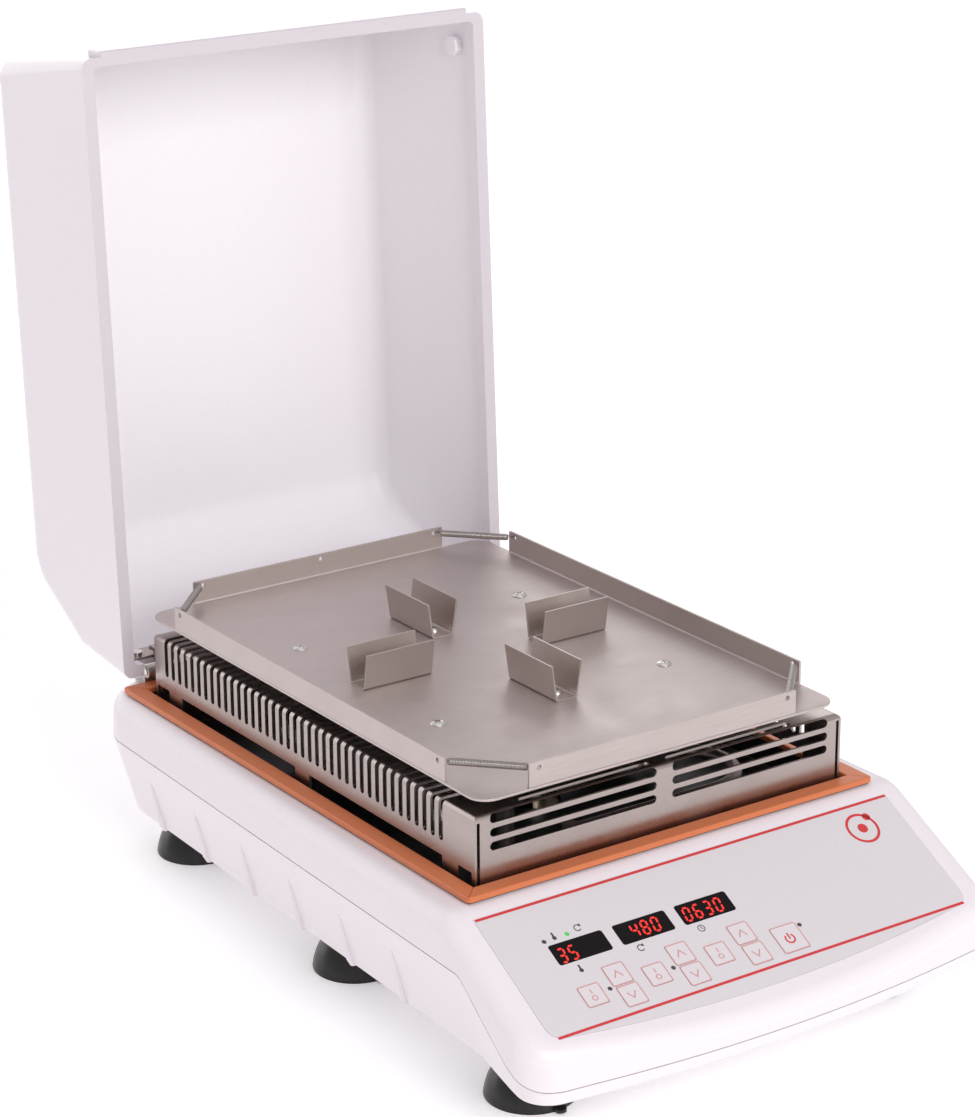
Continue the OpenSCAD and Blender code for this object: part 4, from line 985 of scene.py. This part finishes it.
plate = evaluated(new_mesh(prism(round_rect(2 * TRAY_X - 0.1, 2 * TRAY_Y - 0.1, 9, steps=10),
                                 -TRAY_T, 0)), [bevel(0.25, 2, 60)])
screw_holes = joined(*[moved(lathe([(2, -3), (2, 2)], 20), x, y) for x, y in SCREW_SPOTS])
clip_holes = joined(*[turned(moved(lathe([(1.6, -3), (1.6, 2)], 16), CLIP_ARM + s * CLIP_SCREW),
                             a) for a in range(0, 360, 90) for s in (-1, 1)])
tray_mesh = evaluated(plate, [
    cut(screw_holes), cut(clip_holes),
    fuse(flange(END_FLANGE, 0, TRAY_Y)),
    fuse(flange(END_FLANGE, 180, TRAY_Y, [(0, HOOK_Z)])),
    fuse(flange(SIDE_FLANGE, 90, TRAY_X)), fuse(flange(SIDE_FLANGE, 270, TRAY_X))])
piece("tray_sheet", tray_mesh, TRAY, "platform", tray_steel, ["tray"])


def clip_shape():
    """The bent channel of a plate clip, along X, with its middle at the origin."""
    low, top, t = CLIP_LOW / 2, CLIP_TOP / 2, CLIP_T
    lean = math.atan2(top - low, CLIP_H)
    r = 1.3
    turn = 90 - math.degrees(lean)
    c = (low - r * math.tan(math.radians(turn / 2)) + 0.35, r)
    outer = arc(c[0], c[1], r, 270, 270 + turn, 5)
    inner = arc(c[0], c[1], r - t, 270, 270 + turn, 5)
    lift = Vector((math.sin(lean), math.cos(lean))) * (CLIP_H - r) / math.cos(lean)
    tip = [(outer[-1][0] + lift.x, outer[-1][1] + lift.y),
           (inner[-1][0] + lift.x, inner[-1][1] + lift.y)]
    right = outer + tip
    section = right + list(reversed(inner))
    section += [(-x, z) for x, z in inner]
    section += [(-x, z) for x, z in reversed(right)]
    return placed(prism(section, -CLIP_L / 2, CLIP_L / 2), ALONG_X)


clip_wells = joined(*[moved(lathe([(1.6, -2), (1.6, 3)], 16), s * CLIP_SCREW) for s in (-1, 1)])
for side, angle in (("right", 0), ("rear", 90), ("left", 180), ("front", 270)):
    place = TRAY @ Matrix.Rotation(math.radians(angle), 4, "Z") @ Matrix.Translation(
        (CLIP_ARM, 0, 0))
    piece(f"clip_sheet_{side}", clip_shape(), place, "platform", clip_steel,
          [f"plate_clip_{side}"], [bevel(0.18, 2, 50), cut(clip_wells)], sharp=40)


def screw_head(r, h, shank_r, shank):
    """Round head with a cross recess, on a plain shank; its seat is at z = 0."""
    dome = [(shank_r, -shank), (shank_r, 0), (r, 0), (r, 0.25 * h), (0.86 * r, 0.65 * h),
            (0.6 * r, 0.9 * h), (0.3 * r, h), (0.05, h)]
    long, thin, low, high = 0.55 * r, 0.12 * r, 0.35 * h, 2 * h
    return as_shape(evaluated(new_mesh(lathe(dome, 32)), [
        cut(block(-long, long, -thin, thin, low, high)),
        cut(block(-thin, thin, -long, long, low, high))]))


tray_screw = screw_head(3.5, 1.2, 1.95, TRAY_T)
piece("tray_screw_heads", joined(*[moved(turned(tray_screw, 20 + 31 * i), x, y)
                                   for i, (x, y) in enumerate(SCREW_SPOTS)]),
      TRAY, "platform", zinc, ["tray_screws"], sharp=40)
clip_screw = screw_head(2.8, 1.5, 1.55, TRAY_T + CLIP_T)
piece("clip_screw_heads", joined(*[
    turned(moved(turned(clip_screw, 35 * k), CLIP_ARM + s * CLIP_SCREW, 0, CLIP_T), a)
    for k, a in enumerate(range(0, 360, 90)) for s in (-1, 1)]),
    TRAY, "platform", zinc, ["clip_screws"], sharp=40)

# --- corner springs -----------------------------------------------------------------------------
WIRE_R, COIL_R, PER_TURN = 0.3, 1.45, 10
COIL_START = 3.4
# The hook at each end, from the coil back through its hole: along the axis, and up.
HOOK_PATH = ((2.9, 0.9), (2.2, 1.25), (1.3, 1.25), (0.4, 0.95), (0.0, 0.35), (0.0, -0.35),
             (0.5, -0.9))


def corner_spring():
    """Close-wound coil between the hook holes of the right and rear flanges."""
    pull = 0.8
    a = Vector((TRAY_X - TRAY_T / 2, SIDE_FLANGE - HOOK_IN + pull, HOOK_Z))
    b = Vector((END_FLANGE - HOOK_IN + pull, TRAY_Y - TRAY_T / 2, HOOK_Z))
    axis = (b - a).normalized()
    up = Vector((0, 0, 1))
    side = axis.cross(up)
    start, end = COIL_START, (b - a).length - COIL_START
    turns = int((end - start) / (2 * WIRE_R * 1.04))
    steps = turns * PER_TURN
    path = [a + axis * d + up * u for d, u in reversed(HOOK_PATH)]
    # The first and the last turn widen from the hook.
    for k in range(steps + 1):
        t = 2 * math.pi * k / PER_TURN
        grow = min(1.0, 0.55 + k / PER_TURN * 0.45, 0.55 + (steps - k) / PER_TURN * 0.45)
        along = start + (end - start) * k / steps
        path.append(a + axis * along + COIL_R * grow * (math.cos(t) * up + math.sin(t) * side))
    path += [b - axis * d + up * u for d, u in HOOK_PATH]
    return tube(path, WIRE_R, 6)


rear_right = corner_spring()
rear_pair = joined(rear_right, mirrored(rear_right))
front_pair = ([(x, -y, z) for x, y, z in rear_pair[0]],
              [tuple(reversed(f)) for f in rear_pair[1]])
piece("spring_coils", joined(rear_pair, front_pair), TRAY, "platform",
      spring_steel, ["corner_springs"], sharp=60)

# --- floor, lights and camera -------------------------------------------------------------------
# The sheets and the lights are placed in metres, in the part's own frame.
def stage_sheet(name, corners, glow):
    """A white sheet of the studio that gives a little light of its own."""
    shader = Shader(name, (0.93, 0.925, 0.93), 0.85, Emission_Strength=glow)
    shader.bsdf.inputs["Emission Color"].default_value = (1.0, 1.0, 1.0, 1.0)
    shader.bump(shader.noise(0.5), 0.02)
    mesh = bpy.data.meshes.new(name)
    mesh.from_pydata(corners, [], [(0, 1, 2, 3)])
    mesh.materials.append(shader.material)
    obj = bpy.data.objects.new(name, mesh)
    bpy.context.scene.collection.objects.link(obj)


FLOOR_REACH, WALL_AT = 30, 6
stage_sheet("studio_floor", [(-FLOOR_REACH, -FLOOR_REACH, 0), (FLOOR_REACH, -FLOOR_REACH, 0),
                             (FLOOR_REACH, WALL_AT, 0), (-FLOOR_REACH, WALL_AT, 0)], 0.26)
stage_sheet("studio_wall", [(-WALL_AT, WALL_AT, 0), (WALL_AT, WALL_AT, 0),
                            (WALL_AT, WALL_AT, WALL_AT), (-WALL_AT, WALL_AT, WALL_AT)], 1.0)

world = bpy.data.worlds.new("studio")
world.use_nodes = True
world.node_tree.nodes["Background"].inputs["Color"].default_value = (1.0, 0.97, 0.99, 1.0)
world.node_tree.nodes["Background"].inputs["Strength"].default_value = 0.60
bpy.context.scene.world = world
bpy.context.scene.view_settings.view_transform = "Standard"


def softbox(name, at, target, size, power):
    light = bpy.data.lights.new(name, "AREA")
    light.shape = "RECTANGLE"
    light.size, light.size_y = size
    light.energy = power
    obj = bpy.data.objects.new(name, light)
    obj.location = at
    obj.rotation_euler = (Vector(target) - Vector(at)).to_track_quat("-Z", "Y").to_euler()
    bpy.context.scene.collection.objects.link(obj)


softbox("key_light", (-0.1, -2.2, 1.25), (0, 0.1, 0.2), (1.4, 1.0), 29)
softbox("top_light", (0.1, -0.2, 2.0), (0, 0, 0.1), (1.6, 1.6), 2.5)

# The camera stands at the front left, a little above the tray, and looks down along its axis.
CAMERA_AZIMUTH, CAMERA_ELEVATION, CAMERA_ROLL = -35.266, 19.779, -0.171
CAMERA_AT = (-788.1, -1142.5, 565.7)
CAMERA_LENS, SENSOR = 103.76, 36.0
CAMERA_SHIFT = (-0.0281, 0.0329)


def camera_matrix():
    az, el, roll = map(math.radians, (CAMERA_AZIMUTH, CAMERA_ELEVATION, CAMERA_ROLL))
    back = Vector((math.sin(az) * math.cos(el), -math.cos(az) * math.cos(el), math.sin(el)))
    right = Vector((math.cos(az), math.sin(az), 0))
    up = back.cross(right)
    across = math.cos(roll) * right + math.sin(roll) * up
    upward = math.cos(roll) * up - math.sin(roll) * right
    turn = Matrix((across, upward, back)).transposed().to_4x4()
    return Matrix.Translation((Vector(CAMERA_AT) + CHAMBER) * MM) @ turn


camera = bpy.data.cameras.new("camera")
camera.lens, camera.sensor_width = CAMERA_LENS, SENSOR
camera.shift_x, camera.shift_y = CAMERA_SHIFT
camera_object = bpy.data.objects.new("camera", camera)
camera_object.matrix_world = camera_matrix()
bpy.context.scene.collection.objects.link(camera_object)
bpy.context.scene.camera = camera_object
